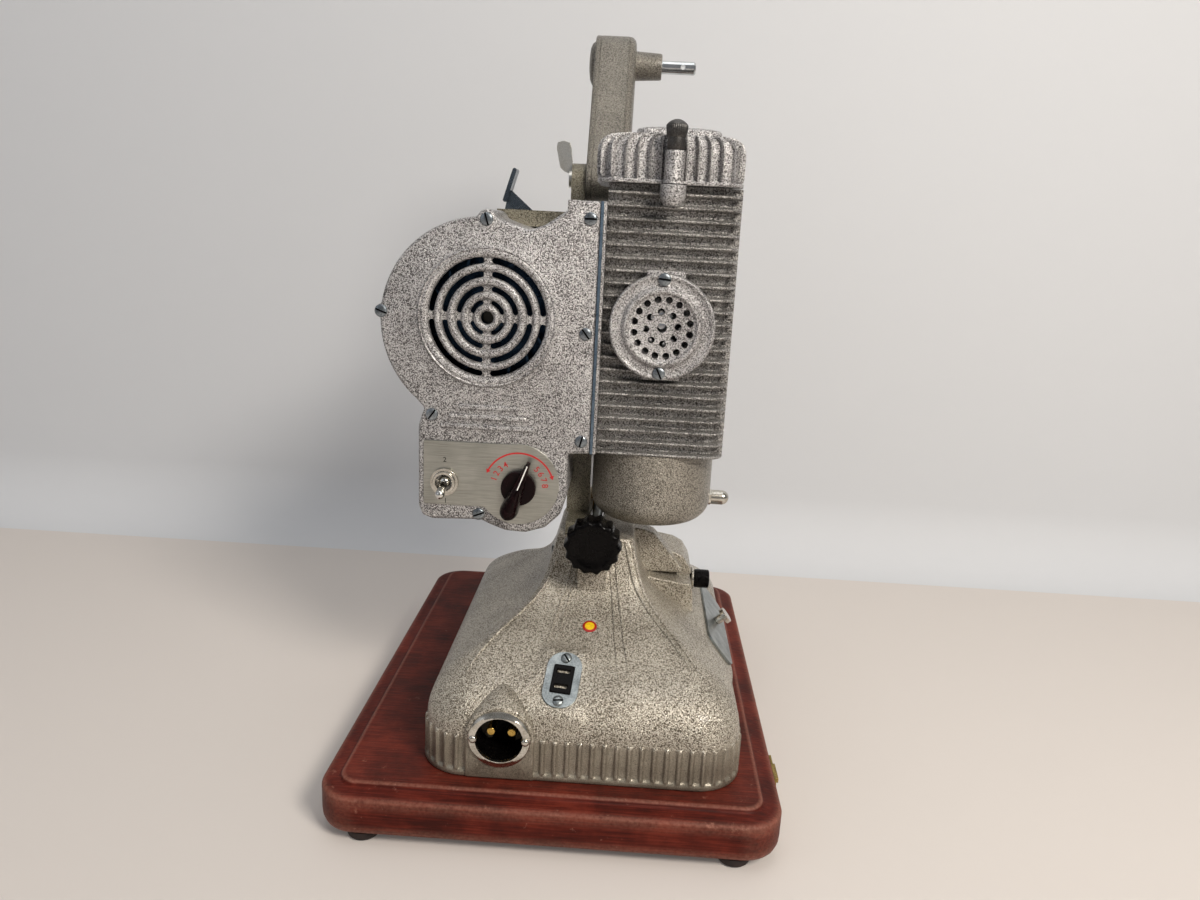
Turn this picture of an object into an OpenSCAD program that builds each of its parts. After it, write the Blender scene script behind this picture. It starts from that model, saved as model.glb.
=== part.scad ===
// Home movie projector of the 1950s, screwed to the bottom board of its carrying case.
// +X is the film side, +Y points to the screen, +Z is up. Millimetres.
// The origin is the centre of the board's outline, on the surface that the feet stand on.

/* [Board and feet] */
// Width of the case board, across the projector
board_w = 230; // [226:2:240]
// Depth of the case board, along the projector
board_d = 300; // [292:2:310]
// Thickness of the covered board
board_t = 24; // [20:1:28]
// Height of the rubber feet
foot_h = 5; // [4:1:8]
// Radius of the board's upright corners
board_corner = 20; // [14:1:26]

/* [Cast base] */
// Width of the cast base
base_w = 164; // [160:1:168]
// Depth of the cast base
base_d = 215; // [210:1:220]
// Height of the upright fluted skirt
skirt_h = 25; // [22:1:26]
// Wall of the base casting
base_wall = 3; // [2.5:0.5:4]
// Radius of the base's corners at the skirt
base_corner = 24; // [20:1:28]

/* [Tilt] */
// Diameter of the scalloped tilt knob
tilt_knob_d = 31; // [28:1:32]
// Diameter of the tilt knob's shaft
tilt_shaft_d = 6; // [5:0.5:6]

/* [Head] */
// Height of the lens and lamp axis above the floor
axis_z = 251; // [250:1:252]
// Distance of the lens axis to the film side
axis_x = 43; // [42:0.5:44]
// Radius of the blower part of the motor cover
blower_r = 54; // [53:0.5:55]
// Wall of the motor cover and the mechanism case
cover_wall = 2.5; // [2:0.5:3]
// Radius of the ventilation grille's openings
grille_r = 29.6; // [28:0.2:30]
// Diameter of the slotted screw heads
screw_head_d = 6.6; // [6:0.2:7]

/* [Lamphouse] */
// Width over the cooling fins
lamphouse_w = 68.3; // [66:0.1:68.3]
// Depth over the cooling fins
lamphouse_d = 64; // [62:1:65]
// Number of cooling fins
fin_count = 22; // [18:1:24]
// Thickness of a fin
fin_t = 1.8; // [1.4:0.2:2.4]
// Radius of the round socket housing below the fins
barrel_r = 34; // [32:0.5:34]
// Diameter of the lamp's glass tube
bulb_d = 38; // [34:1:40]

/* [Reels and arms] */
// Diameter of the reel spindles
spindle_d = 7.94; // [7.8:0.02:8]
// Free length of a reel spindle
spindle_l = 21; // [18:1:24]
// Thickness of the feed arm
feed_arm_t = 25.5; // [24:0.5:25.5]

/* [Lens and film] */
// Outside diameter of the lens barrel
lens_d = 26; // [24:0.5:28]
// Length of the lens barrel
lens_l = 52; // [44:1:56]
// Radius of the shutter disc
shutter_r = 35; // [34:0.5:36]

/* [Hidden] */
$fn = 48;
fit = 0.05;                 // radial running clearance of a shaft in its bore
gap = 0.3;                  // air between neighbours that move apart
board_top = foot_h + board_t;
edge_r = 5;                 // rounded edge of the covered board
foot_r = 8.5;
foot_x = board_w / 2 - 23;
foot_y = board_d / 2 - 11;
catch_y = -95;
catch_t = 3;

base_x = 13.4;
base_y = -22.5;
base_z = board_top;
skirt_top = base_z + skirt_h;
base_top = 131;             // flat top of the neck
neck_hx = 21.5;             // half width of the neck
neck_hy = 28;               // half depth of the neck
neck_corner = 9;

inlet_x = -26.4;
inlet_z = 52;
inlet_y = base_y - base_d / 2 - 1;
inlet_r = 11.7;             // opening of the mains inlet
inlet_ring_r = 15.3;
hood_r = 17.2;
pin_pitch = 10.5;
rivet_pitch = 25.8;

tilt_x = 12.8;
tilt_z = 134;
tilt_r = tilt_shaft_d / 2;
knob_back = -63;            // front plane of the knob, where its boss begins
knob_l = 14;
pivot_y = -34;              // tilt hinge
pivot_z = 116;
pivot_r = 3;
heel = [-4.1, 17.1];        // the head's foot in the neck slot, in X
upright = [-5.5, 7.8];
heel_y = [-43, 4];
heel_top = 137;
slot_y = [-47.6, 8];           // slot in the neck, with room for the tilt
shelf_top = 127;            // shelf in front of the neck, under the tilt nut

cover_back = -64;           // rear face of the motor cover
case_back = -22;            // where cover and case meet
seam = 0.3;
blower_x = -49;
blower_z = 247.5;
motor_x = -47.5;
lobe_x = -29.3;             // round lobe under the speed knob
lobe_z = 163.4;
lobe_r = 27.2;
cover_right = 8.1;
block_left = -83.4;
block_bottom = 141.3;
plate_x = [8.4, 11.4];      // mechanism plate
shaft_r = 3;
cover_screw_at = [[-102.2, 251.9], [-48.4, 300.2], [-75.7, 199], [3.6, 302.7],
    [3.6, 245.4], [3.6, 188.7], [-50, 145.4]];

fin_z0 = 182;
fin_z1 = 316.5;
fin_pitch = (fin_z1 - fin_z0) / (fin_count - 1);
lamp_x0 = plate_x[1];
lamp_xc = lamp_x0 + lamphouse_w / 2;
lamp_y0 = -58;
lamp_yc = lamp_y0 + lamphouse_d / 2;
lamp_z0 = 181;
lamp_z1 = 320.8;
core_in = 5;                // fins stand this far out of the wall
lamp_wall = 3;
bulb_y = -26;
socket_top = 195.4;
barrel_x = axis_x;
barrel_y = -24;
barrel_bottom = 139.3;
cap_z0 = 321.2;
cap_z1 = 351;
cap_x = [4.6, 79.9];
cap_y = [-60.5, 7.5];
cap_r = 10;
cap_screw_y = -64.4;
cap_screw_x = 43.4;
cap_boss_r = 4.9;
low_boss_r = 6.4;            // boss under it, on the lamphouse
vent_r = 27;                // round cover behind the reflector

main_x = 24;                // main shaft, parallel to the lens
main_z = 228;
sprocket_y = 31;
worm_r = 4;
wheel_r = 9;
low_z = main_z - worm_r - wheel_r - gap;
high_z = 288;
chain_r = 7;
belt_y = 46;
motor_pulley_r = 5;
main_pulley_r = 8;
belt_t = 1.8;

gate_y = [17.5, 20.5];
lens_y0 = 32;
hinge_x = 66;
hinge_y = 27;

feed_x0 = -6;
feed_pivot = [45, 326];     // y, z
feed_at = [90, 399];        // y, z
feed_end_r = 17;
feed_foot_r = 13;
lug_x = [-14.5, -6.3];
lug_r = 9.5;
nut_seat = -10.2;            // bottom of the wing nut's recess in the lug
take_x = [8.4, 22];
take_pivot = [50, 168];
take_at = [138, 138];
spindle_r = spindle_d / 2;
journal_r = 3.3;            // the spindles' thinner part, inside the arms
boss_end = 36;              // where both reel spindles leave their bosses
lever_at = [-34, 300.5];    // clutch lever hinge: x, z

// Rods along the three axes, from one coordinate to another
module rod_x(x0, x1, r, y = 0, z = 0) {
    translate([x0, y, z]) rotate([0, 90, 0]) cylinder(h = x1 - x0, r = r);
}

module rod_y(y0, y1, r, x = 0, z = 0) {
    translate([x, y0, z]) rotate([-90, 0, 0]) cylinder(h = y1 - y0, r = r);
}

module rod_z(z0, z1, r, x = 0, y = 0) {
    translate([x, y, z0]) cylinder(h = z1 - z0, r = r);
}

// A flat outline drawn in X and Z, thickened from y0 to y1
module along_y(y0, y1) {
    translate([0, y1, 0]) rotate([90, 0, 0]) linear_extrude(y1 - y0) children();
}

// A flat outline drawn in Y and Z, thickened from x0 to x1
module along_x(x0, x1) {
    translate([x0, 0, 0]) rotate([90, 0, 90]) linear_extrude(x1 - x0) children();
}

module block(x, y, z) {
    translate([x[0], y[0], z[0]]) cube([x[1] - x[0], y[1] - y[0], z[1] - z[0]]);
}

// Rectangle from two corners with round corners
module round_rect(x0, x1, y0, y1, r) {
    translate([x0 + r, y0]) square([x1 - x0 - 2 * r, y1 - y0]);
    translate([x0, y0 + r]) square([x1 - x0, y1 - y0 - 2 * r]);
    for (x = [x0 + r, x1 - r]) for (y = [y0 + r, y1 - r]) translate([x, y]) circle(r);
}

// Straight bar with round ends of two radii, between two points
module link(a, b, ra, rb) {
    d = b - a;
    n = norm(d);
    s = (ra - rb) / n;
    c = sqrt(1 - s * s);
    u = d / n;
    v = [-u[1], u[0]];
    translate(a) circle(ra);
    translate(b) circle(rb);
    polygon([a + ra * (s * u + c * v), a + ra * (s * u - c * v), b + rb * (s * u - c * v), b + rb * (s * u + c * v)]);
}

// Points of a rounded rectangle at height z
ring_arc = 6;               // steps in each round corner

function ring(xc, yc, hx, hy, r, z) = [for (q = [0:3]) for (k = [0:ring_arc]) let (a = 90 * q + 90 * k / ring_arc)
    [xc + (q == 0 || q == 3 ? 1 : -1) * (hx - r) + r * cos(a), yc + (q < 2 ? 1 : -1) * (hy - r) + r * sin(a), z]];

// Closed skin through a stack of such rings, from the lowest to the highest
module loft(rings) {
    n = 4 * (ring_arc + 1);
    m = len(rings);
    polyhedron(points = [for (g = rings) each g], convexity = 6, faces = concat(
        [[for (i = [0:n - 1]) i]],
        [[for (i = [0:n - 1]) n * m - 1 - i]],
        [for (j = [0:m - 2]) for (i = [0:n - 1]) let (k = (i + 1) % n) each [
            [j * n + i, (j + 1) * n + i, (j + 1) * n + k],
            [j * n + i, (j + 1) * n + k, j * n + k]]]));
}

// Flat slab with round upright corners and round horizontal edges; bottom is the radius below
module soft_slab(xc, yc, z0, w, d, h, corner, edge, bottom) {
    steps = [0, 30, 60, 90];
    low = bottom > 0 ? [for (a = steps) [bottom * (1 - sin(a)), z0 + bottom * (1 - cos(a))]] : [[0, z0]];
    high = [for (a = steps) [edge * (1 - cos(a)), z0 + h - edge * (1 - sin(a))]];
    loft([for (e = concat(low, high)) ring(xc, yc, w / 2 - e[0], d / 2 - e[0], corner - e[0] * 0.9, e[1])]);
}

// One slotted fillister screw head with its shank, pointing to -Y from the face at y0
module slotted_screw(x, z, y0, head_h, shank_l, turn) {
    r = screw_head_d / 2;
    difference() {
        union() {
            rod_y(y0 - head_h, y0, r, x, z);
            rod_y(y0, y0 + shank_l, r * 0.5, x, z);
        }
        translate([x, y0 - head_h, z]) rotate([0, turn, 0]) cube([2 * r + 1, 1.2, 0.9], center = true);
    }
}

// Board, feet and catches

module case_board() {
    color("#6b2e2a") soft_slab(0, 0, foot_h, board_w, board_d, board_t, board_corner, edge_r, edge_r);
}

module rubber_feet() {
    color("#2b2522") for (x = [-foot_x, foot_x]) for (y = [-foot_y, foot_y]) {
        rod_z(0, foot_h, foot_r, x, y);
    }
}

// Keeper plate for the draw catch of the case's cover
module case_catch() {
    x0 = board_w / 2;
    color("#8c8a6a") {
        block([x0, x0 + 1.2], [catch_y - 11, catch_y + 11], [foot_h + 5, foot_h + 19]);
        block([x0, x0 + catch_t], [catch_y - 7, catch_y + 7], [foot_h + 14, foot_h + 16.4]);
        for (y = [-7, 7]) rod_x(x0, x0 + 2, 1.6, catch_y + y, foot_h + 8.5);
    }
}

// Cast base: a rounded skirt that sweeps up in a hollow curve to a narrow neck.
// Each ring is [share of the way from the neck to the skirt, height].
base_rings = [[1, base_z], [1, skirt_top + 1], [0.985, skirt_top + 7], [0.95, skirt_top + 12],
    [0.88, skirt_top + 17], [0.78, skirt_top + 21.5], [0.66, skirt_top + 26], [0.54, skirt_top + 30.5],
    [0.42, skirt_top + 35], [0.31, skirt_top + 39], [0.22, skirt_top + 43.5], [0.14, skirt_top + 49],
    [0.085, skirt_top + 56], [0.05, skirt_top + 64], [0.02, skirt_top + 71], [0, base_top]];
module base_loft(rings, inset, drop) {
    loft([for (g = rings) ring(base_x, base_y,
        neck_hx + (base_w / 2 - neck_hx) * g[0] - inset,
        neck_hy + (base_d / 2 - neck_hy) * g[0] - inset,
        max(2, neck_corner + (base_corner - neck_corner) * g[0] - inset), g[1] - drop)]);
}

module base_casting() {
    cavity_rings = [for (g = base_rings) if (g[1] < skirt_top + 48) g];
    color("#8d877b") difference() {
        union() {
            base_loft(base_rings, 0, 0);
            // Arched panel round the mains inlet
            along_y(inlet_y, inlet_y + 34) {
                translate([inlet_x, inlet_z]) circle(hood_r);
                translate([inlet_x - hood_r, base_z]) square([2 * hood_r, inlet_z - base_z]);
            }
            // Boss and gusset that carry the tilt knob's shaft
            along_y(knob_back + 1.5, -54.6) {
                translate([tilt_x, tilt_z]) circle(8);
                translate([tilt_x - 8, 104]) square([16, tilt_z - 104]);
            }
            block([tilt_x - 8, tilt_x + 8], [-54.6, -46], [100, 130.5]);
            // Seat of the room lamp outlet
            outlet_place() translate([0, 0, -9]) linear_extrude(9) round_rect(-10, 10, -17.5, 17.5, 9.5);
            // Shelf in front of the neck, on which the tilt nut slides
            block([4, 21.5], [-5, 19], [100, shelf_top]);
            // Switch housing on the film side
            along_y(-32, 20) polygon([[24, 66], [24, 118], [44, 114.5], [60, 109], [68.5, 103], [71.5, 92], [71.5, 66]]);
            // Flat seat for the side plate, on the film side's slope
            along_y(-56, 30) polygon([[60, 40], [74, seat[0][1] - 1], seat[0] + rim, seat[1] + rim, [95.3, 40]]);
        }
        // Flat recess of the side plate
        thumb_place() linear_extrude(14) round_rect(-13.2, 13.2, -41.5, 41.5, 7);
        // Hollow underneath, open to the board
        base_loft(cavity_rings, base_wall, base_wall + 0.01);
        block([base_x - base_w / 2 + 3, base_x + base_w / 2 - 3], [base_y - 60, base_y + 60], [base_z - 2, base_z - 1]);
        // Slot for the head's foot, and the tilt pin's bore
        block([heel[0] - gap, heel[1] + gap], slot_y, [93, base_top + 20]);
        block([4, heel[1] + 6], [2, 20], [shelf_top, base_top + 20]);
        rod_x(-20, 32, pivot_r, pivot_y, pivot_z);
        rod_y(knob_back - 5, -40, tilt_r + fit, tilt_x, tilt_z);
        // Mains inlet, room lamp outlet, switch and thumb screw
        rod_y(inlet_y - 1, inlet_y + 27, inlet_r + 1.4, inlet_x, inlet_z);
        for (s = [-1, 1]) rod_y(inlet_y - 1, inlet_y + 9, 1.5, inlet_x + s * rivet_pitch / 2, inlet_z);
        outlet_place() linear_extrude(12) round_rect(-9.3, 9.3, -15.8, 15.8, 8.8);
        outlet_place() translate([0, 0, -12]) linear_extrude(24) square([10.6, 15.6], center = true);
        outlet_place() for (s = [-1, 1]) translate([0, s * 12, -6]) cylinder(h = 12, r = 1.5);
        rod_x(50, 75, 3 + fit, switch_yz[0], switch_yz[1]);
        rod_x(50, 64, 9, switch_yz[0], switch_yz[1]);
        thumb_place() translate([0, 0, -12]) cylinder(h = 30, r = 2 + fit);
    }
}

switch_yz = [-6, 93];
// Local frames on the slopes: x right, y up the slope, z out of the surface
outlet_at = [2.2, -111.6, 75.6];
outlet_slope = 34;
module outlet_place() {
    translate(outlet_at) rotate([outlet_slope, 0, 0]) rotate([0, 0, -5]) children();
}

seat = [[79.5, 77.5], [95, 58]];   // upper and lower edge of the side plate's flat seat: x, z
rim = [0.31, 0.25];         // how far the seat stands proud of the plate's recess: x, z
thumb_y = -13;
module thumb_place() {
    m = (seat[0] + seat[1]) / 2;
    translate([m[0], thumb_y, m[1]])
        rotate([0, 90 - atan2(seat[1][0] - seat[0][0], seat[0][1] - seat[1][1]), 0]) children();
}

module inlet_ring() {
    color("#b9b3a6") {
        difference() {
            rod_y(inlet_y - 1.6, inlet_y, inlet_ring_r, inlet_x, inlet_z);
            rod_y(inlet_y - 3, inlet_y + 1, inlet_r, inlet_x, inlet_z);
            for (s = [-1, 1]) rod_y(inlet_y - 3, inlet_y + 1, 1.5, inlet_x + s * rivet_pitch / 2, inlet_z);
        }
        for (s = [-1, 1]) {
            rod_y(inlet_y - 2.8, inlet_y - 1.6, 2.2, inlet_x + s * rivet_pitch / 2, inlet_z);
            rod_y(inlet_y - 1.6, inlet_y + 8, 1.5, inlet_x + s * rivet_pitch / 2, inlet_z);
        }
    }
}

module inlet_cup() {
    color("#141210") difference() {
        rod_y(inlet_y, inlet_y + 25, inlet_r + 1.4, inlet_x, inlet_z);
        rod_y(inlet_y - 1, inlet_y + 19, inlet_r, inlet_x, inlet_z);
        for (s = [-1, 1]) rod_y(inlet_y + 15, inlet_y + 30, 2.2, inlet_x + s * pin_pitch / 2, inlet_z);
        for (s = [-1, 1]) rod_y(inlet_y - 1, inlet_y + 9, 1.5, inlet_x + s * rivet_pitch / 2, inlet_z);
    }
}

module inlet_pins() {
    color("#b0893f") for (s = [-1, 1]) {
        rod_y(inlet_y + 6, inlet_y + 29, 2.2, inlet_x + s * pin_pitch / 2, inlet_z);
    }
}

module outlet_plate() {
    color("#a3a6a6") outlet_place() difference() {
        linear_extrude(1) difference() {
            round_rect(-9, 9, -15.5, 15.5, 8.5);
            square([10.6, 15.6], center = true);
            for (s = [-1, 1]) translate([0, s * 12]) circle(1.6);
        }
    }
}

module outlet_socket() {
    color("#16110f") outlet_place() difference() {
        translate([0, 0, -8.5]) linear_extrude(10.3) round_rect(-5.3, 5.3, -7.8, 7.8, 1.5);
        for (s = [-1, 1]) translate([0, s * 4.2, -5]) linear_extrude(8) square([6.6, 1.9], center = true);
    }
}

module outlet_screws() {
    color("#c9c9c4") outlet_place() for (s = [-1, 1]) translate([0, s * 12, 0]) difference() {
        union() {
            translate([0, 0, 1]) cylinder(h = 1.3, r = 2.8);
            translate([0, 0, -5.5]) cylinder(h = 6.5, r = 1.5);
        }
        translate([0, 0, 2.3]) rotate([0, 0, 25 + 30 * s]) cube([7, 0.7, 1.2], center = true);
    }
}

// Round printed disc stuck to the slope
module rating_disc() {
    color("#e8c51c") translate([13.6, -79.68, 91.1]) rotate([24.4, 0, 0]) cylinder(h = 0.5, r = 3.9);
}

module switch_bezel() {
    color("#c4c4c0") difference() {
        rod_x(71.5, 73, 7, switch_yz[0], switch_yz[1]);
        rod_x(70, 74, 3 + fit, switch_yz[0], switch_yz[1]);
    }
}

module switch_knob() {
    color("#151312") {
        rod_x(73.3, 82.5, 5.6, switch_yz[0], switch_yz[1]);
        rod_x(58, 73.3, 3, switch_yz[0], switch_yz[1]);
    }
}

// Steel plate over the wiring opening in the film side's slope
module side_plate() {
    color("#a9adb0") thumb_place() difference() {
        linear_extrude(1.4) round_rect(-12, 12, -41, 41, 6.5);
        translate([0, 0, -2]) cylinder(h = 8, r = 2.3);
    }
}

module thumb_screw() {
    color("#c6c8c6") thumb_place() {
        translate([0, 0, -9]) cylinder(h = 11, r = 2);
        translate([0, 0, 1.7]) cylinder(h = 4.8, r = 2.6);
        translate([0, 0, 6.5]) cylinder(h = 2.8, r = 4.8);
    }
}

// Tilt drive

module tilt_pin() {
    color("#8b8b88") rod_x(-12, 30, pivot_r, pivot_y, pivot_z);
}

module tilt_knob() {
    lobes = 14;
    r = tilt_knob_d / 2;
    color("#1a1716") difference() {
        union() {
            rod_y(knob_back - knob_l, knob_back, r - 0.9, tilt_x, tilt_z);
            for (i = [0:lobes - 1]) rotate_about_shaft(i * 360 / lobes)
                rod_y(knob_back - knob_l, knob_back, 2.2, tilt_x + r - 2.2, tilt_z);
        }
        rod_y(knob_back - 8, knob_back + 1, tilt_r, tilt_x, tilt_z);
    }
}

module rotate_about_shaft(a) {
    translate([tilt_x, 0, tilt_z]) rotate([0, a, 0]) translate([-tilt_x, 0, -tilt_z]) children();
}

module tilt_shaft() {
    color("#9a9a96") rod_y(knob_back - 8, 14, tilt_r, tilt_x, tilt_z);
}

// Block with a rounded nose that draws the head's foot back as the knob turns
module tilt_nut() {
    nose = 3;
    y0 = heel_y[1] + gap + nose;
    color("#a08445") difference() {
        union() {
            rod_x(6, 19.6, nose, y0, tilt_z);
            block([6, 19.6], [y0, y0 + 9], [shelf_top + gap, tilt_z + 6.5]);
        }
        rod_y(0, 20, tilt_r + fit, tilt_x, tilt_z);
    }
}

// Head: cover, case and plate

// Outline of the motor cover seen from behind; inset makes the same shape smaller
module cover_outline(inset) {
    translate([blower_x, blower_z]) circle(blower_r - inset);
    translate([lobe_x, lobe_z]) circle(lobe_r - inset);
    round_rect(block_left + inset, lobe_x, block_bottom + inset, 199 - inset, 6 - min(inset, 3));
    translate([lobe_x, lobe_z]) square([lobe_r - inset, 30]);
    translate([lobe_x, 182 + inset]) square([cover_right - inset - lobe_x, 113 - inset]);
    polygon([[-27 + inset, 294 - inset], [-19 + inset, 298.5 - inset], [-8, 304.8 - inset], [0, 304.8 - inset],
        [0, 290], [-27, 290]]);
    round_rect(-5 + inset, cover_right - inset, 280, 311.5 - inset, 1.5);
    if (inset == 0) {
        translate([-48.4, 299.6]) circle(5.2);
        translate([-102.2, 251.9]) circle(4);
    }
}

grille_rings = [[29.6, 27.5], [23.1, 20.7], [16.5, 14], [9.3, 6.8]];   // outer and inner radius of each opening
grille_spoke = 4.6;

module grille_openings() {
    difference() {
        for (g = grille_rings) difference() {
            circle(g[0] * grille_r / 29.6);
            circle(g[1] * grille_r / 29.6);
        }
        square([80, grille_spoke], center = true);
        square([grille_spoke, 80], center = true);
    }
    circle(3.2);
}

module motor_cover() {
    color("#8f8a7e") difference() {
        union() {
            along_y(cover_back, case_back - seam) cover_outline(0);
            rod_y(cover_back - 1.2, cover_back, 33.6, motor_x, axis_z);
            for (i = [0:2]) block([-62 - 4.5 * i, -29 + 4.5 * i], [cover_back - 1.2, cover_back],
                [203 - 5.5 * i, 205.5 - 5.5 * i]);
        }
        difference() {
            along_y(cover_back + cover_wall, 0) cover_outline(cover_wall);
            for (p = cover_screw_at) rod_y(cover_back, case_back, 4, p[0], p[1]);
        }
        for (p = cover_screw_at) rod_y(cover_back - 3, case_back + 1, screw_head_d / 4, p[0], p[1]);
        translate([motor_x, 0, axis_z]) along_y(cover_back - 3, cover_back + 4) grille_openings();
        rod_y(cover_back - 2, cover_back + 4, 4, lobe_x + 0.8, lobe_z - 1.4);
        rod_y(cover_back - 2, cover_back + 4, 6.1, toggle_at[0], toggle_at[1]);
    }
}

toggle_at = [-68.5, 162.8];
speed_at = [-28.5, 162];

module cover_screws() {
    color("#6f7b86") {
        for (i = [0:len(cover_screw_at) - 1])
            slotted_screw(cover_screw_at[i][0], cover_screw_at[i][1], cover_back, 2.2, 46, 35 + 50 * i);
        for (s = [-1, 1]) slotted_screw(axis_x - 0.8, axis_z + s * 24, lamp_y0 - 5, 2.2, 11, 40 - 30 * s);
    }
}

module control_plate() {
    color("#b7b5b0") difference() {
        along_y(cover_back - 0.8, cover_back) {
            round_rect(-80, lobe_x, 149.8, 185.2, 1.2);
            translate([lobe_x, lobe_z]) circle(22.3);
        }
        rod_y(cover_back - 2, cover_back + 4, 4, speed_at[0], speed_at[1]);
        rod_y(cover_back - 2, cover_back + 4, 6.1, toggle_at[0], toggle_at[1]);
    }
}

module rheostat() {
    color("#6d655b") difference() {
        rod_y(cover_back + cover_wall, cover_back + 20, 17, speed_at[0], speed_at[1]);
        rod_y(cover_back + 7, cover_back + 24, 12, speed_at[0], speed_at[1]);
        rod_y(cover_back, cover_back + 24, shaft_r + fit, speed_at[0], speed_at[1]);
    }
}

// Chicken-head pointer knob with its shaft
module speed_knob() {
    color("#231b1c") translate([speed_at[0], 0, speed_at[1]]) rotate([0, 20, 0]) {
        rod_y(cover_back - 4.6, cover_back - 1.2, 9.3);
        along_y(cover_back - 16, cover_back - 4.6) link([0, 14.4], [0, -12.5], 2, 5);
        rod_y(cover_back - 1.2, cover_back + 12, shaft_r);
    }
}

module toggle_body() {
    color("#b4b2aa") difference() {
        union() {
            rod_y(cover_back - 4, cover_back + 3, 6, toggle_at[0], toggle_at[1]);
            rod_y(cover_back - 2.6, cover_back - 0.8, 7.6, toggle_at[0], toggle_at[1]);
            block([toggle_at[0] - 8, toggle_at[0] + 8], [cover_back + cover_wall, cover_back + 22],
                [toggle_at[1] - 9, toggle_at[1] + 9]);
        }
        rod_y(cover_back - 5, cover_back + 6, 4.5, toggle_at[0], toggle_at[1]);
    }
}

toggle_tilt = 17;
module toggle_lever() {
    color("#c9c7c0") translate([toggle_at[0], cover_back, toggle_at[1]]) rotate([90 + toggle_tilt, 0, 0]) {
        sphere(3.4);
        rod_x(-4.2, 4.2, 0.8);
        cylinder(h = 13, r1 = 1.5, r2 = 2.6);
        translate([0, 0, 13]) sphere(2.6);
    }
}

// Cast case behind the cover: motor bay, gear bay, the foot that tilts and the feed arm's lug
module mechanism_case() {
    color("#85806f") difference() {
        union() {
            along_y(case_back, -8) {
                cover_outline(0);
                translate([-50, 280]) square([50 + cover_right, 26]);
                translate([0, 186]) square([plate_x[0], 114]);
            }
            along_y(-8, 38) drum_outline(0);
            along_y(38, 57) round_rect(-66, plate_x[0], 200, 292, 8);
            // upright and foot
            block(upright, [-21.5, 4], [heel_top - 1, 190]);
            block(heel, heel_y, [98, heel_top]);
            // lugs of the two reel arms
            along_x(lug_x[0], lug_x[1]) {
                translate(feed_pivot) circle(lug_r);
                translate([feed_pivot[0] - lug_r, 285]) square([2 * lug_r, feed_pivot[1] - 285]);
            }
            along_x(-3, 8.1) {
                translate(take_pivot) circle(11);
                translate([take_pivot[0] - 11, take_pivot[1]]) square([18, 40]);
            }
        }
        along_y(case_back - 1, -8 - cover_wall) cover_outline(cover_wall);
        along_y(case_back - 1, 38 - cover_wall) drum_outline(cover_wall);
        along_y(38 - cover_wall - 1, 57 - cover_wall) round_rect(-66 + cover_wall, cover_right - cover_wall, 200 + cover_wall, 292 - cover_wall, 6);
        rod_y(30, 60, shaft_r + fit, motor_x, axis_z);
        // slots for the shutter disc and the belt
        block([-12.5, 12], [8, 16], [main_z - 36, main_z + 36]);
        block([-5, 12], [belt_y - 5, belt_y + 5], [main_z - 12, main_z + 30]);
        // sprocket shafts, arm bolts and lever pin
        for (z = [low_z, high_z]) rod_x(3, 12, shaft_r + 0.3, sprocket_y, z);
        rod_x(-20, 0, 4, feed_pivot[0], feed_pivot[1]);
        rod_x(lug_x[0] - 1, nut_seat, 5.3, feed_pivot[0], feed_pivot[1]);
        rod_x(-5, 12, 4, take_pivot[0], take_pivot[1]);
        rod_y(-20.3, 0, 1.5 + fit, lever_at[0], lever_at[1]);
        block([-50.6, -27.5], [-14.6, -11.4], [297.9, 308]);
        // the foot's bore for the tilt pin and its fork over the tilt shaft
        rod_x(-6, 20, pivot_r + fit, pivot_y, pivot_z);
        block([tilt_x - 3.6, tilt_x + 3.6], [-50, 10], [123, 145]);
        // seats of the cover's screws
        for (p = cover_screw_at) rod_y(case_back - 1, -12, screw_head_d / 4, p[0], p[1]);
    }
    color("#85806f") difference() {
        motor_spider();
        rod_y(-40, -20, shaft_r + fit, motor_x, axis_z);
    }
}

// Motor bay outline: the blower circle without the control lobe
module drum_outline(inset) {
    translate([blower_x, blower_z]) circle(50 - inset);
    round_rect(blower_x, plate_x[0] - inset, 186 + inset, 300 - inset, 4);
}

// Three-armed bracket that holds the motor's field and rear bearing
module motor_spider() {
    rod_y(-34, -27, 8, motor_x, axis_z);
    for (a = [[90, 48], [210, 51.5], [330, 62]]) translate([motor_x, 0, axis_z]) rotate([0, -a[0], 0]) {
        block([6, 43], [-33, -28], [-4, 4]);
        block([37.5, 43], [-33, -7], [-4, 4]);
        difference() {
            block([30, a[1]], [-7.5, 5], [-5, 5]);
            rod_y(-24, 8, 37);
        }
    }
}

module mechanism_plate() {
    color("#6f7d8c") difference() {
        along_x(plate_x[0], plate_x[1]) polygon([[-63.5, 182], [-63.5, 311.5], [28, 311.5], [57, 294], [57, 190], [49, 182]]);
        block([5, 15], [8, 16], [main_z - 36, main_z + 36]);
        block([5, 15], [belt_y - 5, belt_y + 5], [main_z - 12, main_z + 30]);
        for (z = [low_z, high_z]) rod_x(5, 15, shaft_r + fit, sprocket_y, z);
    }
}

// Motor and drive

module motor_field() {
    color("#4f4a45") difference() {
        union() {
            rod_y(-24, 8, 37, motor_x, axis_z);
            for (s = [-1, 1]) block([motor_x - 17, motor_x + 17], [-26, 12], [axis_z + s * 28.5 - 5.5, axis_z + s * 28.5 + 5.5]);
        }
        rod_y(-40, 20, 22.5, motor_x, axis_z);
    }
}

module armature() {
    color("#a8927a") difference() {
        union() {
            rod_y(-58, 60.5, shaft_r, motor_x, axis_z);
            rod_y(-22, 6, 21.5, motor_x, axis_z);
            rod_y(12, 26, 11, motor_x, axis_z);
        }
        for (i = [0:11]) translate([motor_x, 0, axis_z]) rotate([0, i * 30, 0]) block([19.5, 23], [-25, 8], [-1, 1]);
    }
}

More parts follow.
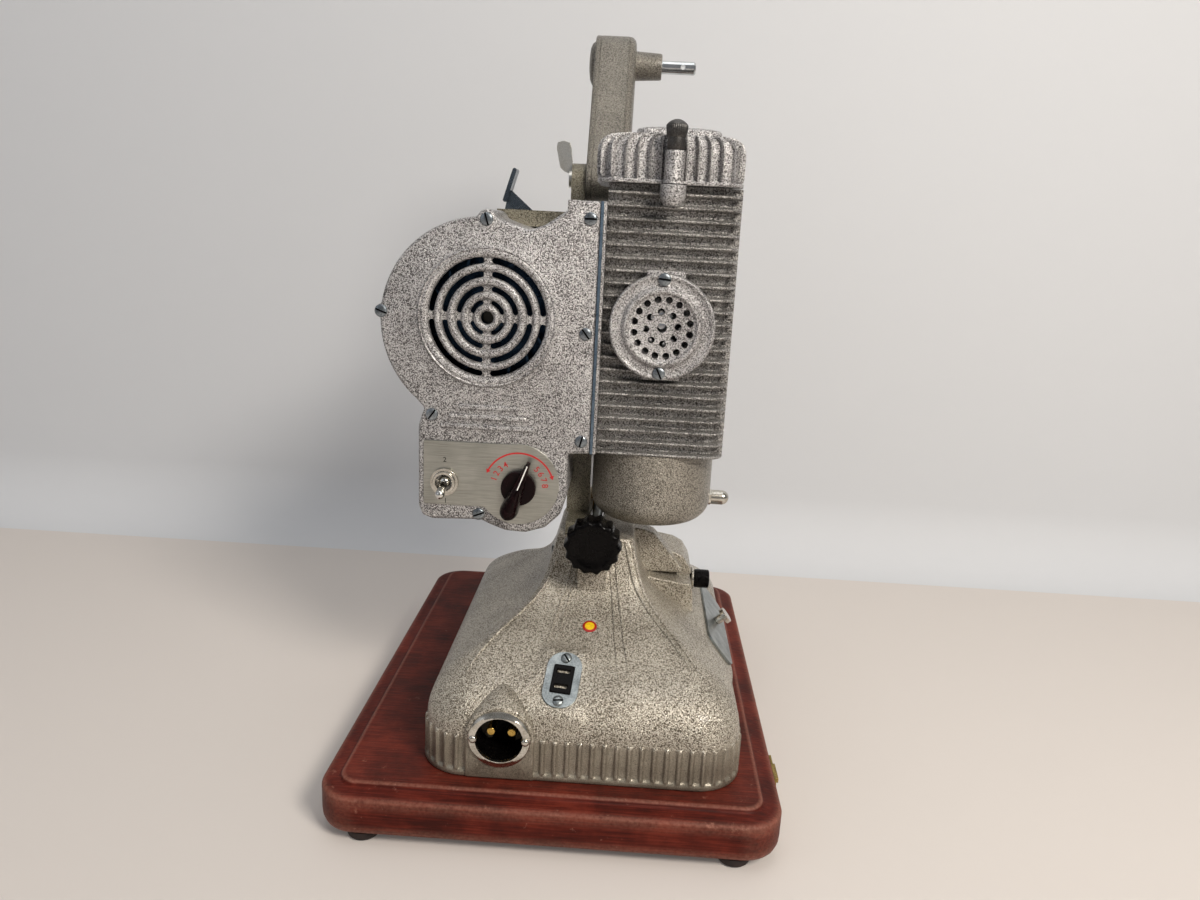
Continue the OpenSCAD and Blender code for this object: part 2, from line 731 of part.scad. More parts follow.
module fan() {
    blades = 16;
    color("#77736c") difference() {
        union() {
            rod_y(-44, -42, 40, motor_x, axis_z);
            rod_y(-56, -42, 8, motor_x, axis_z);
            for (i = [0:blades - 1]) translate([motor_x, 0, axis_z]) rotate([0, i * 360 / blades, 0])
                translate([29, 0, 0]) rotate([0, 35, 0]) block([-2, 9], [-57, -43.5], [-0.6, 0.6]);
        }
        rod_y(-60, -40, shaft_r, motor_x, axis_z);
    }
}

// Flanged pulley, cut so that its groove lies round y0
module pulley(x, z, y0, r) {
    rod_y(y0 - 3.5, y0 + 3.5, r, x, z);
    for (y = [y0 - 3.5, y0 + 2.5]) rod_y(y, y + 1, r + 2.6, x, z);
}

// Grooved pulley and, outside the case, the knurled knob for turning the film by hand
module motor_pulley() {
    color("#8d8d88") difference() {
        union() {
            pulley(motor_x, axis_z, belt_y, motor_pulley_r);
            rod_y(58, 70, 9, motor_x, axis_z);
        }
        rod_y(40, 60.5, shaft_r, motor_x, axis_z);
    }
}

// Endless rubber belt between the motor and the main shaft, just clear of both grooves
module drive_belt() {
    a = [motor_x, axis_z];
    b = [main_x, main_z];
    color("#2c2522") along_y(belt_y - 2, belt_y + 2) difference() {
        link(a, b, motor_pulley_r + gap + belt_t, main_pulley_r + gap + belt_t);
        link(a, b, motor_pulley_r + gap, main_pulley_r + gap);
    }
}

module main_shaft() {
    color("#9b9a94") {
        rod_y(8.5, 50, shaft_r, main_x, main_z);
        rod_y(25.8, 36.2, worm_r, main_x, main_z);
        pulley(main_x, main_z, belt_y, main_pulley_r);
    }
}

// Three-bladed shutter on the main shaft
module shutter() {
    color("#3a3835") difference() {
        union() {
            along_y(11.2, 12.4) translate([main_x, main_z]) {
                circle(14);
                for (a = [0, 120, 240]) rotate(a) intersection() {
                    circle(shutter_r);
                    polygon([[0, 0], [50, -28.87], [50, 28.87]]);
                }
            }
            rod_y(9, 15, 7, main_x, main_z);
        }
        rod_y(0, 20, shaft_r, main_x, main_z);
    }
}

module sprocket(z) {
    rod_x(5.5, 48, shaft_r, sprocket_y, z);
    rod_x(14.6, 17.4, chain_r - 1, sprocket_y, z);
    rod_x(37, 39, 8, sprocket_y, z);
    rod_x(39, 45, 6, sprocket_y, z);
    rod_x(45, 48, 8, sprocket_y, z);
    for (i = [0:11]) translate([0, sprocket_y, z]) rotate([30 * i, 0, 0]) block([37.4, 38.4], [-0.5, 0.5], [7.5, 8.9]);
}

module upper_sprocket() {
    color("#b3b0a8") sprocket(high_z);
}

module lower_sprocket() {
    color("#b3b0a8") {
        sprocket(low_z);
        rod_x(21, 27, wheel_r, sprocket_y, low_z);
    }
}

// Ladder chain that turns both sprocket shafts together
module sprocket_chain() {
    a = [sprocket_y, low_z];
    b = [sprocket_y, high_z];
    color("#7c7a74") along_x(14.8, 17.2) difference() {
        link(a, b, chain_r + 0.8, chain_r + 0.8);
        link(a, b, chain_r - 0.7, chain_r - 0.7);
    }
}

// Lamphouse

module lamp_section(inset, r) {
    round_rect(lamp_x0 + inset, lamp_x0 + lamphouse_w - inset, lamp_y0 + inset, lamp_y0 + lamphouse_d - inset, r);
    translate([lamp_x0 + inset, lamp_y0 + inset]) square([r, lamphouse_d - 2 * inset]);
}

module lamphouse() {
    color("#7f7b74") difference() {
        union() {
            translate([0, 0, lamp_z0]) linear_extrude(lamp_z1 - lamp_z0) lamp_section(core_in, 6);
            for (i = [0:fin_count - 1]) translate([0, 0, fin_z0 + i * fin_pitch - fin_t / 2])
                linear_extrude(fin_t) lamp_section(0, 10);
            rod_y(lamp_y0, lamp_y0 + 8, 26.5, axis_x, axis_z);
            rod_y(-2, 8, 17, axis_x, axis_z);
            translate([cap_screw_x, cap_screw_y, 310.6]) cylinder(h = 4.4, r1 = 4.2, r2 = low_boss_r);
            rod_z(315, lamp_z1, low_boss_r, cap_screw_x, cap_screw_y);
            block([cap_screw_x - low_boss_r, cap_screw_x + low_boss_r], [cap_screw_y, lamp_y0 + 6], [315, lamp_z1]);
        }
        translate([0, 0, lamp_z0 - 1]) linear_extrude(lamp_z1 - lamp_z0 + 2) lamp_section(core_in + lamp_wall, 4);
        rod_y(lamp_y0 - 1, lamp_y0 + 14, 16, axis_x, axis_z);
        for (s = [-1, 1]) rod_y(lamp_y0 - 1, lamp_y0 + 7, screw_head_d / 4, axis_x - 0.8, axis_z + s * 24);
        rod_y(-4, 9, 14, axis_x, axis_z);
        rod_z(305, 323, 2 + fit, cap_screw_x, cap_screw_y);
    }
}

// Round housing of the lamp socket, with a rolled bottom edge
module socket_barrel() {
    roll = 12;
    wall = 2.5;
    color("#857f70") translate([barrel_x, barrel_y, 0]) difference() {
        rotate_extrude() {
            translate([0, barrel_bottom]) square([barrel_r - roll, lamp_z0 - barrel_bottom]);
            translate([0, barrel_bottom + roll]) square([barrel_r, lamp_z0 - barrel_bottom - roll]);
            translate([barrel_r - roll, barrel_bottom + roll]) circle(roll);
        }
        rotate_extrude() {
            translate([0, barrel_bottom + wall]) square([barrel_r - roll, lamp_z0]);
            translate([0, barrel_bottom + roll]) square([barrel_r - wall, lamp_z0]);
            translate([barrel_r - roll, barrel_bottom + roll]) circle(roll - wall);
        }
        rod_x(20, 40, 1.6, 18, 145.5);
        rod_x(30.2, 40, 5.6, 18, 145.5);
    }
}

// Nickelled nut that clamps the socket in its housing
module barrel_nut() {
    z = 145.5;
    y = barrel_y + 18;
    color("#c2c4c4") {
        rod_x(62, 73.3, 1.5, y, z);
        rod_x(73.3, 79.5, 5, y, z, $fn = 6);
        rod_x(79.5, 86, 4.3, y, z);
        translate([86, y, z]) sphere(4.3);
    }
}

module lamp_socket() {
    color("#c9bfa8") difference() {
        union() {
            rod_z(barrel_bottom + 2.5, 166, 12, barrel_x, bulb_y);
            rod_z(160, socket_top, 17, barrel_x, bulb_y);
        }
        rod_z(168.8, socket_top + 1, 13.6, barrel_x, bulb_y);
    }
}

module lamp_base() {
    color("#b08d4a") {
        rod_z(168.8, 204, 13.6, barrel_x, bulb_y);
        rod_z(socket_top, socket_top + 1.6, 18, barrel_x, bulb_y);
    }
}

module lamp_bulb() {
    r = bulb_d / 2;
    color("#d9e2e4", 0.4) difference() {
        union() {
            rod_z(204, 296, r, barrel_x, bulb_y);
            translate([barrel_x, bulb_y, 296]) sphere(r);
        }
        rod_z(205, 296, r - 1, barrel_x, bulb_y);
        translate([barrel_x, bulb_y, 296]) sphere(r - 1);
    }
}

// Dished mirror behind the lamp
module reflector() {
    dish = 34;
    $fn = 160;
    color("#d6d8da") intersection() {
        rod_y(-60, -48, 16, axis_x, axis_z);
        difference() {
            translate([axis_x, -54.3 + dish, axis_z]) sphere(dish);
            translate([axis_x, -53.3 + dish, axis_z]) sphere(dish);
        }
    }
}

module reflector_cover() {
    color("#8b867b") difference() {
        union() {
            rod_y(lamp_y0 - 5, lamp_y0, vent_r, axis_x, axis_z);
            rod_y(lamp_y0 - 8, lamp_y0 - 5, 20, axis_x, axis_z);
        }
        rod_y(lamp_y0 - 6, lamp_y0 + 1, 17, axis_x, axis_z);
        rod_y(lamp_y0 - 10, lamp_y0, 2.5, axis_x, axis_z);
        for (i = [0:15]) translate([axis_x, 0, axis_z]) rotate([0, i * 22.5, 0]) rod_y(lamp_y0 - 10, lamp_y0, 1.8, 14.4, 0);
        for (i = [0:7]) translate([axis_x, 0, axis_z]) rotate([0, i * 45 + 11, 0]) rod_y(lamp_y0 - 10, lamp_y0, 1.8, 8.1, 0);
        for (s = [-1, 1]) rod_y(lamp_y0 - 9, lamp_y0 + 1, screw_head_d / 4, axis_x - 0.8, axis_z + s * 24);
    }
}

// Two flat-backed glass lenses in the lamphouse's front wall
module condenser_lenses() {
    bulge = 22;
    $fn = 120;
    color("#dfe6e8", 0.4) for (s = [-1, 1]) intersection() {
        rod_y(-4, 8, 13.9, axis_x, axis_z);
        translate([axis_x, 2 + s * (6 - bulge), axis_z]) sphere(bulge);
        block([0, 100], s > 0 ? [2.4, 9] : [-5, 1.6], [200, 300]);
    }
}

module lamphouse_cap() {
    w = cap_x[1] - cap_x[0];
    d = cap_y[1] - cap_y[0];
    xc = (cap_x[0] + cap_x[1]) / 2;
    yc = (cap_y[0] + cap_y[1]) / 2;
    color("#85817a") difference() {
        union() {
            soft_slab(xc, yc, cap_z0 + 1.8, w, d - 1.6, cap_z1 - cap_z0 - 1.8, 14, cap_r, 0);
            translate([xc, yc, cap_z0]) linear_extrude(2) round_rect(0.7 - w / 2, w / 2 - 0.7, -d / 2, d / 2, 12);
            rod_z(cap_z0, 337, cap_boss_r, cap_screw_x, cap_screw_y);
            block([cap_screw_x - cap_boss_r, cap_screw_x + cap_boss_r], [cap_screw_y, -54], [cap_z0, 337]);
        }
        soft_slab(xc, yc, cap_z0 - 1, w - 8, d - 8, cap_z1 - cap_z0 - 2, 11, cap_r - 2, 0);
        rod_z(300, 345, 2.3, cap_screw_x, cap_screw_y);
    }
}

// Captive thumb screw that holds the cap down
module cap_screw() {
    color("#5d5a55") {
        rod_z(312.5, 338, 2, cap_screw_x, cap_screw_y);
        rod_z(337.3, 343, 4.3, cap_screw_x, cap_screw_y);
        translate([cap_screw_x, cap_screw_y, 343]) cylinder(h = 5.5, r1 = 4.6, r2 = 5.4);
        intersection() {
            translate([cap_screw_x, cap_screw_y, 348.5 - 3.5]) sphere(6.44);
            rod_z(348, 353, 5.4, cap_screw_x, cap_screw_y);
        }
    }
}

// Gate and lens

module gate_plate() {
    color("#8f8c83") difference() {
        union() {
            along_y(gate_y[0], gate_y[1]) round_rect(plate_x[1], 60, 206, 296, 3);
            rod_y(gate_y[0], 25.5, 5.4, main_x, main_z);
            for (z = [228, 266]) {
                rod_z(z, z + 8, 4, hinge_x, hinge_y);
                block([57, hinge_x + 3], [gate_y[0], hinge_y - 2], [z, z + 8]);
            }
        }
        rod_y(10, 30, shaft_r + fit, main_x, main_z);
        block([39, 47], [gate_y[1] - 0.8, gate_y[1] + 1], [200, 300]);
        block([40.6, 45.4], [10, 30], [axis_z - 1.8, axis_z + 1.8]);
        rod_z(220, 280, 1.5, hinge_x, hinge_y);
        block([20, 28], [10, 30], [200, 220]);
    }
}

// Swinging gate with the lens holder and the film pressure plate
module lens_mount() {
    color("#77746d") difference() {
        union() {
            rod_y(lens_y0 - 4, lens_y0 + 26, lens_d / 2 + 4, axis_x, axis_z);
            along_y(24, lens_y0 - 3.5) round_rect(30, hinge_x, 237, 265, 3);
            block([37, 49], [gate_y[1] + 0.4, 26], [238, 264]);
            rod_z(236.3, 265.7, 4, hinge_x, hinge_y);
        }
        rod_y(22, 70, lens_d / 2 + fit, axis_x, axis_z);
        block([40.6, 45.4], [10, 30], [axis_z - 1.8, axis_z + 1.8]);
    }
    color("#77746d") rod_z(228, 274, 1.5 - fit, hinge_x, hinge_y);
}

module lens_barrel() {
    r = lens_d / 2;
    color("#2a2a2c") difference() {
        union() {
            rod_y(lens_y0, lens_y0 + lens_l, r, axis_x, axis_z);
            rod_y(lens_y0 + 32, lens_y0 + lens_l, r + 2.5, axis_x, axis_z);
        }
        rod_y(lens_y0 - 1, lens_y0 + lens_l + 1, r - 3, axis_x, axis_z);
    }
}

module lens_glass() {
    $fn = 160;
    color("#cfe0e6", 0.4) for (y = [lens_y0 + 5, lens_y0 + lens_l - 8]) intersection() {
        rod_y(y - 4, y + 6, lens_d / 2 - 3, axis_x, axis_z);
        translate([axis_x, y + 18, axis_z]) sphere(20);
        translate([axis_x, y - 16, axis_z]) sphere(20);
    }
}

// Clutch lever: bent steel strip with a turned-up finger pad
module clutch_lever() {
    p = lever_at;
    color("#8e949a") {
        along_y(-13.8, -12.2) {
            translate(p) circle(2.3);
            polygon([[-47, 304.6], [-46.8, 306.4], [-46.2, 309.4], [-43.7, 316.4], [-31.4, 306], [-31.7, 300.5],
                [-34, 298.2], [-36.2, 299.6]]);
        }
        along_y(-18.5, -7.5) link([-46.3, 310.9], [-41.4, 326.6], 1.15, 1.15);
        rod_y(-20, -8.6, 1.5, p[0], p[1]);
    }
}

// Reel arms

module feed_arm() {
    x1 = feed_x0 + feed_arm_t;
    color("#7d776a") difference() {
        union() {
            along_x(feed_x0, x1) link(feed_pivot, feed_at, feed_foot_r, feed_end_r);
            rod_x(feed_x0 - 4, feed_x0, 13.5, feed_at[0], feed_at[1]);
            rod_x(x1, boss_end, 8.2, feed_at[0], feed_at[1]);
        }
        // inside: room for the pulleys and the spring belt
        along_x(feed_x0 + 4, x1 - 3) link(feed_at, feed_pivot + [6, 9.73], feed_end_r - 4, feed_foot_r - 4);
        rod_x(feed_x0 - 1, 50, journal_r + fit, feed_at[0], feed_at[1]);
        rod_x(-20, 40, 4 + fit, feed_pivot[0], feed_pivot[1]);
    }
}

// A journal in the arm, a shoulder just clear of its boss, and the free end that takes a reel
module spindle(at, x0) {
    free = boss_end + gap;
    difference() {
        union() {
            rod_x(x0, free, journal_r, at[0], at[1]);
            rod_x(free, free + spindle_l - 1, spindle_r, at[0], at[1]);
            translate([free + spindle_l - 1, at[0], at[1]]) rotate([0, 90, 0]) cylinder(h = 1, r1 = spindle_r, r2 = spindle_r - 0.8);
        }
        rod_y(at[0] - 10, at[0] + 10, 1.5, boss_end + 13.3, at[1]);
    }
}

module feed_spindle() {
    color("#c8cac9") {
        spindle(feed_at, feed_x0);
        rod_x(2, 10, 10, feed_at[0], feed_at[1]);
    }
}

// One-eared nut whose hub sits in the lug
module wing_nut() {
    color("#cfd0cc") difference() {
        union() {
            rod_x(-16.6, nut_seat - gap, 4.8, feed_pivot[0], feed_pivot[1]);
            along_y(feed_pivot[0] - 1.3, feed_pivot[0] + 1.3) polygon([[-14.9, 322.5], [-14.9, 336.4], [-15.9, 344.3],
                [-16.9, 347.2], [-20.4, 348.3], [-24.2, 347.2], [-24.9, 343.9], [-22.3, 332.7], [-19.7, 330.5],
                [-16.6, 329.3], [-16.6, 322.5]]);
        }
        rod_x(-30, 0, 2.5 + fit, feed_pivot[0], feed_pivot[1]);
    }
}

// The two arms' hinge bolts
module pivot_bolts() {
    color("#8f9294") {
        rod_x(nut_seat, 20, 4, feed_pivot[0], feed_pivot[1]);
        rod_x(-16.2, nut_seat + 1, 2.5, feed_pivot[0], feed_pivot[1]);
        rod_x(19.8, 22.8, 6.5, feed_pivot[0], feed_pivot[1]);
        rod_x(-5, 22.3, 4, take_pivot[0], take_pivot[1]);
        rod_x(22.3, 25.3, 6.5, take_pivot[0], take_pivot[1]);
    }
}

module takeup_arm() {
    color("#7d776a") difference() {
        union() {
            along_x(take_x[0], take_x[1]) link(take_pivot, take_at, 11.5, 10.5);
            rod_x(take_x[1], boss_end, 8.2, take_at[0], take_at[1]);
        }
        rod_x(take_x[0] + 3, 50, journal_r + fit, take_at[0], take_at[1]);
        rod_x(0, 40, 4 + fit, take_pivot[0], take_pivot[1]);
    }
}

module takeup_spindle() {
    color("#c8cac9") spindle(take_at, take_x[0] + 3 + gap);
}

case_board();
rubber_feet();
case_catch();
base_casting();
inlet_ring();
inlet_cup();
inlet_pins();
outlet_plate();
outlet_socket();
outlet_screws();
rating_disc();
switch_bezel();
side_plate();
tilt_pin();
switch_knob();
thumb_screw();
tilt_knob();
tilt_shaft();
tilt_nut();
mechanism_case();
mechanism_plate();
motor_cover();
cover_screws();
control_plate();
rheostat();
toggle_body();
motor_field();
lamphouse();
socket_barrel();
barrel_nut();
lamp_socket();
lamp_bulb();
lamp_base();
reflector();
reflector_cover();
condenser_lenses();
gate_plate();
drive_belt();
sprocket_chain();
armature();
fan();
motor_pulley();
main_shaft();
shutter();
upper_sprocket();
lower_sprocket();
lens_mount();
lens_barrel();
lens_glass();
speed_knob();
toggle_lever();
clutch_lever();
lamphouse_cap();
cap_screw();
feed_arm();
feed_spindle();
wing_nut();
pivot_bolts();
takeup_arm();
takeup_spindle();
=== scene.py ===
import math

import bmesh
import bpy
import numpy as np
from mathutils import Matrix, Vector


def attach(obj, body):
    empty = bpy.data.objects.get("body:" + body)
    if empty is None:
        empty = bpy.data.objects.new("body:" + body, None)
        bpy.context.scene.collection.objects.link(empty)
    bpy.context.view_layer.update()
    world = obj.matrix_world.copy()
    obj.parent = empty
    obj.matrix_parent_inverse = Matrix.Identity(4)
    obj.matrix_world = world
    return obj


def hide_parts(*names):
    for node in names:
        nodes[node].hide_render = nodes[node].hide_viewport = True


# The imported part
# The projector as it was built: every node is already in place, in metres. Sizes below are in
# millimetres, in the same frame: +X the film side, +Y towards the screen, +Z up.

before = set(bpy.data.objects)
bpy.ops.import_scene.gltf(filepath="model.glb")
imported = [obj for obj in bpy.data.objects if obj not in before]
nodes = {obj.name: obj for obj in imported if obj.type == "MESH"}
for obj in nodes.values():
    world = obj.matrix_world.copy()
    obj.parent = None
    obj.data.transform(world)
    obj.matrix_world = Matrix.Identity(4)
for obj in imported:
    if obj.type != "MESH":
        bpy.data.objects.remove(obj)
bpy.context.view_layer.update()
MM = 0.001

# Camera
# It stands behind the projector, a little above the lamphouse, and looks down at the machine
# with a wide lens, held slightly askew as in the photograph.

eye = Vector((28.92, -524.43, 300.07)) * MM
turn, dip, roll = math.radians(1.87), math.radians(14.04), math.radians(-2.87)
forward = Vector((-math.sin(turn) * math.cos(dip), math.cos(turn) * math.cos(dip), -math.sin(dip)))
level = Vector((math.cos(turn), math.sin(turn), 0))
down = forward.cross(level)
right = math.cos(roll) * level + math.sin(roll) * down
up = math.sin(roll) * level - math.cos(roll) * down
camera = bpy.data.objects.new("camera", bpy.data.cameras.new("camera"))
camera.data.sensor_width = 36
camera.data.lens = 26.97
camera.data.clip_start = 0.02
camera.matrix_world = Matrix.Translation(eye) @ Matrix((right, up, -forward)).transposed().to_4x4()
bpy.context.scene.collection.objects.link(camera)
bpy.context.scene.camera = camera

# Table, wall and light
# A pale table that runs up to a pale wall in one soft cove, and large soft lamps: one high on
# the right, in front of the projector's rear, one weaker on the left, one overhead, and light
# all round.

TABLE_COLOUR, WALL_COLOUR = "#cdc6c0", "#cbccce"
COVE_START, COVE_RADIUS, STAGE_HALF, ROOM_GLOW = 240, 60, 2600, 0.12


def linear(colour):
    """An sRGB hex colour as linear RGBA."""
    share = np.array([int(colour[i:i + 2], 16) for i in (1, 3, 5)]) / 255
    value = np.where(share <= 0.04045, share / 12.92, ((share + 0.055) / 1.055) ** 2.4)
    return (*value.tolist(), 1.0)


def feed(tree, node, socket, value):
    """Joins another node's output to a node's socket, or gives it a number or a hex colour."""
    if isinstance(value, bpy.types.NodeSocket):
        tree.links.new(value, node.inputs[socket])
    else:
        node.inputs[socket].default_value = linear(value) if isinstance(value, str) else value


def add(tree, kind, inputs=None, output=0, stops=(), **settings):
    """Adds a shader node and returns one of its outputs: inputs go to its sockets, settings are
    its properties, and stops the colours of its ramp."""
    node = tree.nodes.new("ShaderNode" + kind)
    for name, value in settings.items():
        setattr(node, name, value)
    for socket, value in (inputs or {}).items():
        feed(tree, node, socket, value)
    if stops:
        marks = node.color_ramp.elements
        while len(marks) < len(stops):
            marks.new(0.5)
        for mark, (place, colour) in zip(marks, stops):
            mark.position, mark.color = place, linear(colour)
    return node.outputs[output]


def material(name, **values):
    """A new material with a Principled shader whose sockets have these values; with it come its
    tree, the shader and the object's coordinates."""
    made = bpy.data.materials.new(name)
    made.use_nodes = True
    tree = made.node_tree
    shader = tree.nodes["Principled BSDF"]
    for socket, value in values.items():
        feed(tree, shader, socket.replace("_", " "), value)
    return made, tree, shader, add(tree, "TexCoord", output="Object")


def put(name, points, faces, finish):
    """A mesh object from points in millimetres; faces is a list of tuples of point numbers."""
    mesh = bpy.data.meshes.new(name)
    mesh.from_pydata((np.asarray(points, float).reshape(-1, 3) * MM).tolist(), [], faces)
    mesh.validate()
    obj = bpy.data.objects.new(name, mesh)
    bpy.context.scene.collection.objects.link(obj)
    mesh.materials.append(finish)
    return obj


def plain(name, colour, glow):
    """Matt surface that the camera, gloss and glass see a little brighter than the light on it
    makes it, so that it reads as a pale room. Its back can't be seen, so that the object shows
    from every side."""
    made, tree, shader = material(name, Base_Color=colour, Emission_Color=colour, Roughness=0.8)[:3]
    seen = 0.0
    for ray in ("Is Camera Ray", "Is Glossy Ray", "Is Transmission Ray"):
        seen = add(tree, "Math", {0: seen, 1: add(tree, "LightPath", output=ray)}, operation="MAXIMUM")
    feed(tree, shader, "Emission Strength", add(tree, "Math", {0: seen, 1: glow}, operation="MULTIPLY"))
    shown = add(tree, "MixShader", {0: add(tree, "NewGeometry", output="Backfacing"), 1: shader.outputs[0],
                                    2: add(tree, "BsdfTransparent")})
    feed(tree, tree.nodes["Material Output"], "Surface", shown)
    return made


bend = np.linspace(0, math.pi / 2, 25)
stage_y = np.concatenate([[-STAGE_HALF], COVE_START + COVE_RADIUS * np.sin(bend),
                          [COVE_START + COVE_RADIUS]])
stage_z = np.concatenate([[0], COVE_RADIUS * (1 - np.cos(bend)), [2 * STAGE_HALF]])
across = (-STAGE_HALF, STAGE_HALF)
sweep = np.array([[(x, y, z) for x in across] for y, z in zip(stage_y, stage_z)])
sweep_faces = [(2 * i, 2 * i + 1, 2 * i + 3, 2 * i + 2) for i in range(len(stage_y) - 1)]
table_top = put("table_top", sweep[:3], sweep_faces[:2], plain("matt_table", TABLE_COLOUR, ROOM_GLOW))
wall = put("wall", sweep[2:], sweep_faces[:len(stage_y) - 3], plain("matt_wall", WALL_COLOUR, ROOM_GLOW))
for surface in (table_top, wall):
    surface.data.shade_smooth()


def lamp(name, place, target, size, power, colour="#ffffff"):
    """A square soft lamp at a place in millimetres, turned to a target."""
    data = bpy.data.lights.new(name, "AREA")
    data.size, data.energy, data.color = size * MM, power, linear(colour)[:3]
    obj = bpy.data.objects.new(name, data)
    obj.matrix_world = Matrix.Translation(Vector(place) * MM)
    obj.rotation_mode = "QUATERNION"
    obj.rotation_quaternion = (Vector(target) - Vector(place)).to_track_quat("-Z", "Y")
    bpy.context.scene.collection.objects.link(obj)


lamp("key_right", (640, -860, 960), (0, 0, 180), 380, 15.5, "#fff8ee")
lamp("fill_left", (-900, -700, 700), (0, 0, 180), 900, 1.2, "#f2f6ff")
lamp("top", (0, -120, 1500), (0, -40, 100), 900, 3.6)
world = bpy.data.worlds.new("room")
world.use_nodes = True
world.node_tree.nodes["Background"].inputs["Color"].default_value = linear("#dcdde0")
world.node_tree.nodes["Background"].inputs["Strength"].default_value = 0.27
bpy.context.scene.world = world

# Case board
# The bottom board of the carrying case: wood covered with maroon book cloth, glued down and
# worn at the edges. A ledge runs round it, on which the case's cover sits.

BOARD_HALF, BOARD_CORNER = (115, 150), 20
BOARD_EDGE = [  # distance in from the side, height
    (7.0, 5.0), (3.4, 5.3), (1.2, 6.6), (0.25, 9.0), (0, 12.0), (0, 18.0), (0, 23.6), (0.35, 24.6), (1.2, 25.3),
    (2.4, 25.7), (5.5, 26.2), (8.2, 26.5), (9.0, 26.8), (9.4, 27.6), (9.9, 28.5), (10.8, 28.95), (12.0, 29.0)]


def walk(half_x, half_y, radius, along):
    """Where a point is at a distance along a rectangle with round corners, from the middle of
    its -Y side towards +X: shares of the way to the corner's centre in x and y, and the angle
    of the outward normal. Between corners the centre slides, in a corner the angle turns."""
    side = [half_x - radius, 2 * (half_y - radius), 2 * (half_x - radius), 2 * (half_y - radius), half_x - radius]
    turn_length = radius * math.pi / 2
    ends = np.cumsum([0] + [v for s in side[:4] for v in (s, turn_length)] + [side[4]])
    share_x = [0, 1, 1, 1, 1, -1, -1, -1, -1, 0]
    share_y = [-1, -1, -1, 1, 1, 1, 1, -1, -1, -1]
    angle = np.radians([-90, -90, 0, 0, 90, 90, 180, 180, 270, 270])
    at = np.mod(along, ends[-1])
    return [np.interp(at, ends, v) for v in (share_x, share_y, angle)]


def perimeter(half, radius):
    """Length of the outline of a rectangle with round corners."""
    return 4 * (sum(half) - 2 * radius) + 2 * math.pi * radius


def circle(count):
    """This many angles in equal steps round a circle."""
    return np.linspace(0, 2 * math.pi, count + 1)[:-1]


def unit(angle):
    """Points at these angles on a circle of radius 1."""
    return np.stack([np.cos(angle), np.sin(angle)], -1)


def corners(across, up):
    """The four corners of a rectangle from its limits in two directions."""
    return [(across[0], up[0]), (across[1], up[0]), (across[1], up[1]), (across[0], up[1])]


def about(centre, reach, angle, depth):
    """A row of points (x, y, z) at a depth in Y: each at its reach and angle from a place in X
    and Z, so x = centre + reach * cos, z = centre + reach * sin."""
    return centre[0] + reach * np.cos(angle), depth, centre[1] + reach * np.sin(angle)


def rims(centre, half_x, half_y, radius, height, track, proud=0):
    """Stack of rectangles with round corners, one row for each height:
    point = centre + share * (half - radius) + (radius + proud) * normal."""
    half_x, half_y, radius, height = (np.atleast_1d(np.asarray(v, float))[:, None]
                                      for v in np.broadcast_arrays(half_x, half_y, radius, height))
    share_x, share_y, angle = track
    x = centre[0] + share_x * (half_x - radius) + (radius + proud) * np.cos(angle)
    y = centre[1] + share_y * (half_y - radius) + (radius + proud) * np.sin(angle)
    return np.stack([x, y, np.broadcast_to(height, x.shape)], -1)


def smooth(obj, sharp):
    """Smooth shading, with sharp edges where faces meet at more than this angle in degrees."""
    obj.data.shade_smooth()
    obj.data.set_sharp_from_angle(angle=math.radians(sharp))


def loops(rows):
    """Outlines of points from rows of (x, y, z), in which each is an array or one number."""
    return [np.stack(np.broadcast_arrays(*row), -1) for row in rows]


def skin(name, grid, finish, ends=("flat", "flat"), sharp=35):
    """Closed skin over a grid of points: each row is a closed outline, rows are joined by
    quads, and an end row is filled with one face ("flat"), drawn to its centre ("point"),
    left as it is ("open"), or both are joined to each other ("ring")."""
    grid = np.asarray(grid, float)
    rows, columns = grid.shape[:2]
    points = grid.reshape(-1, 3)
    ring = ends[0] == "ring"
    low = np.arange(rows if ring else rows - 1)[:, None] * columns
    high = (low + columns) % (rows * columns)
    this, that = np.arange(columns), np.roll(np.arange(columns), -1)
    quads = np.stack([low + this, low + that, high + that, high + this], -1).reshape(-1, 4)
    a, b, c, d = (points[quads[:, k]] for k in range(4))
    volume = np.einsum("ij,ij->", a, np.cross(b, c) + np.cross(c, d))
    faces = quads.tolist()
    for first, kind in ((True, ends[0]), (False, ends[1])):
        outline = list(range(columns) if first else range((rows - 1) * columns, rows * columns))
        row = grid[0] if first else grid[-1]
        if kind in ("flat", "point"):
            middle = row.mean(0)
            around = np.cross(row, np.roll(row, -1, 0)).sum(0)
            volume += (-1 if first else 1) * middle @ around
            if kind == "flat":
                faces.append(outline[::-1] if first else outline)
            else:
                points = np.vstack([points, middle])
                centre = len(points) - 1
                pairs = zip(outline, outline[1:] + outline[:1])
                faces += [(q, p, centre) if first else (p, q, centre) for p, q in pairs]
    if volume < 0:
        faces = [f[::-1] for f in faces]
    obj = put(name, points, faces, finish)
    smooth(obj, sharp)
    return obj


def fit(obj, body, slot, *replaced):
    """Fixes a piece to the body it rides on and hides the CAD nodes it stands for. The slot is not used."""
    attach(obj, body)
    if replaced:
        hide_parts(*replaced)


def noise(tree, place, size, detail, roughness=0.5, distortion=0.0):
    """Noise whose spots are about this size in mm."""
    return add(tree, "TexNoise", {"Vector": place, "Scale": 1 / (size * MM), "Detail": detail,
                                  "Roughness": roughness, "Distortion": distortion}, "Fac")


def ramp(tree, share, *stops):
    """Colours at shares from 0 to 1."""
    return add(tree, "ValToRGB", {"Fac": share}, stops=stops)


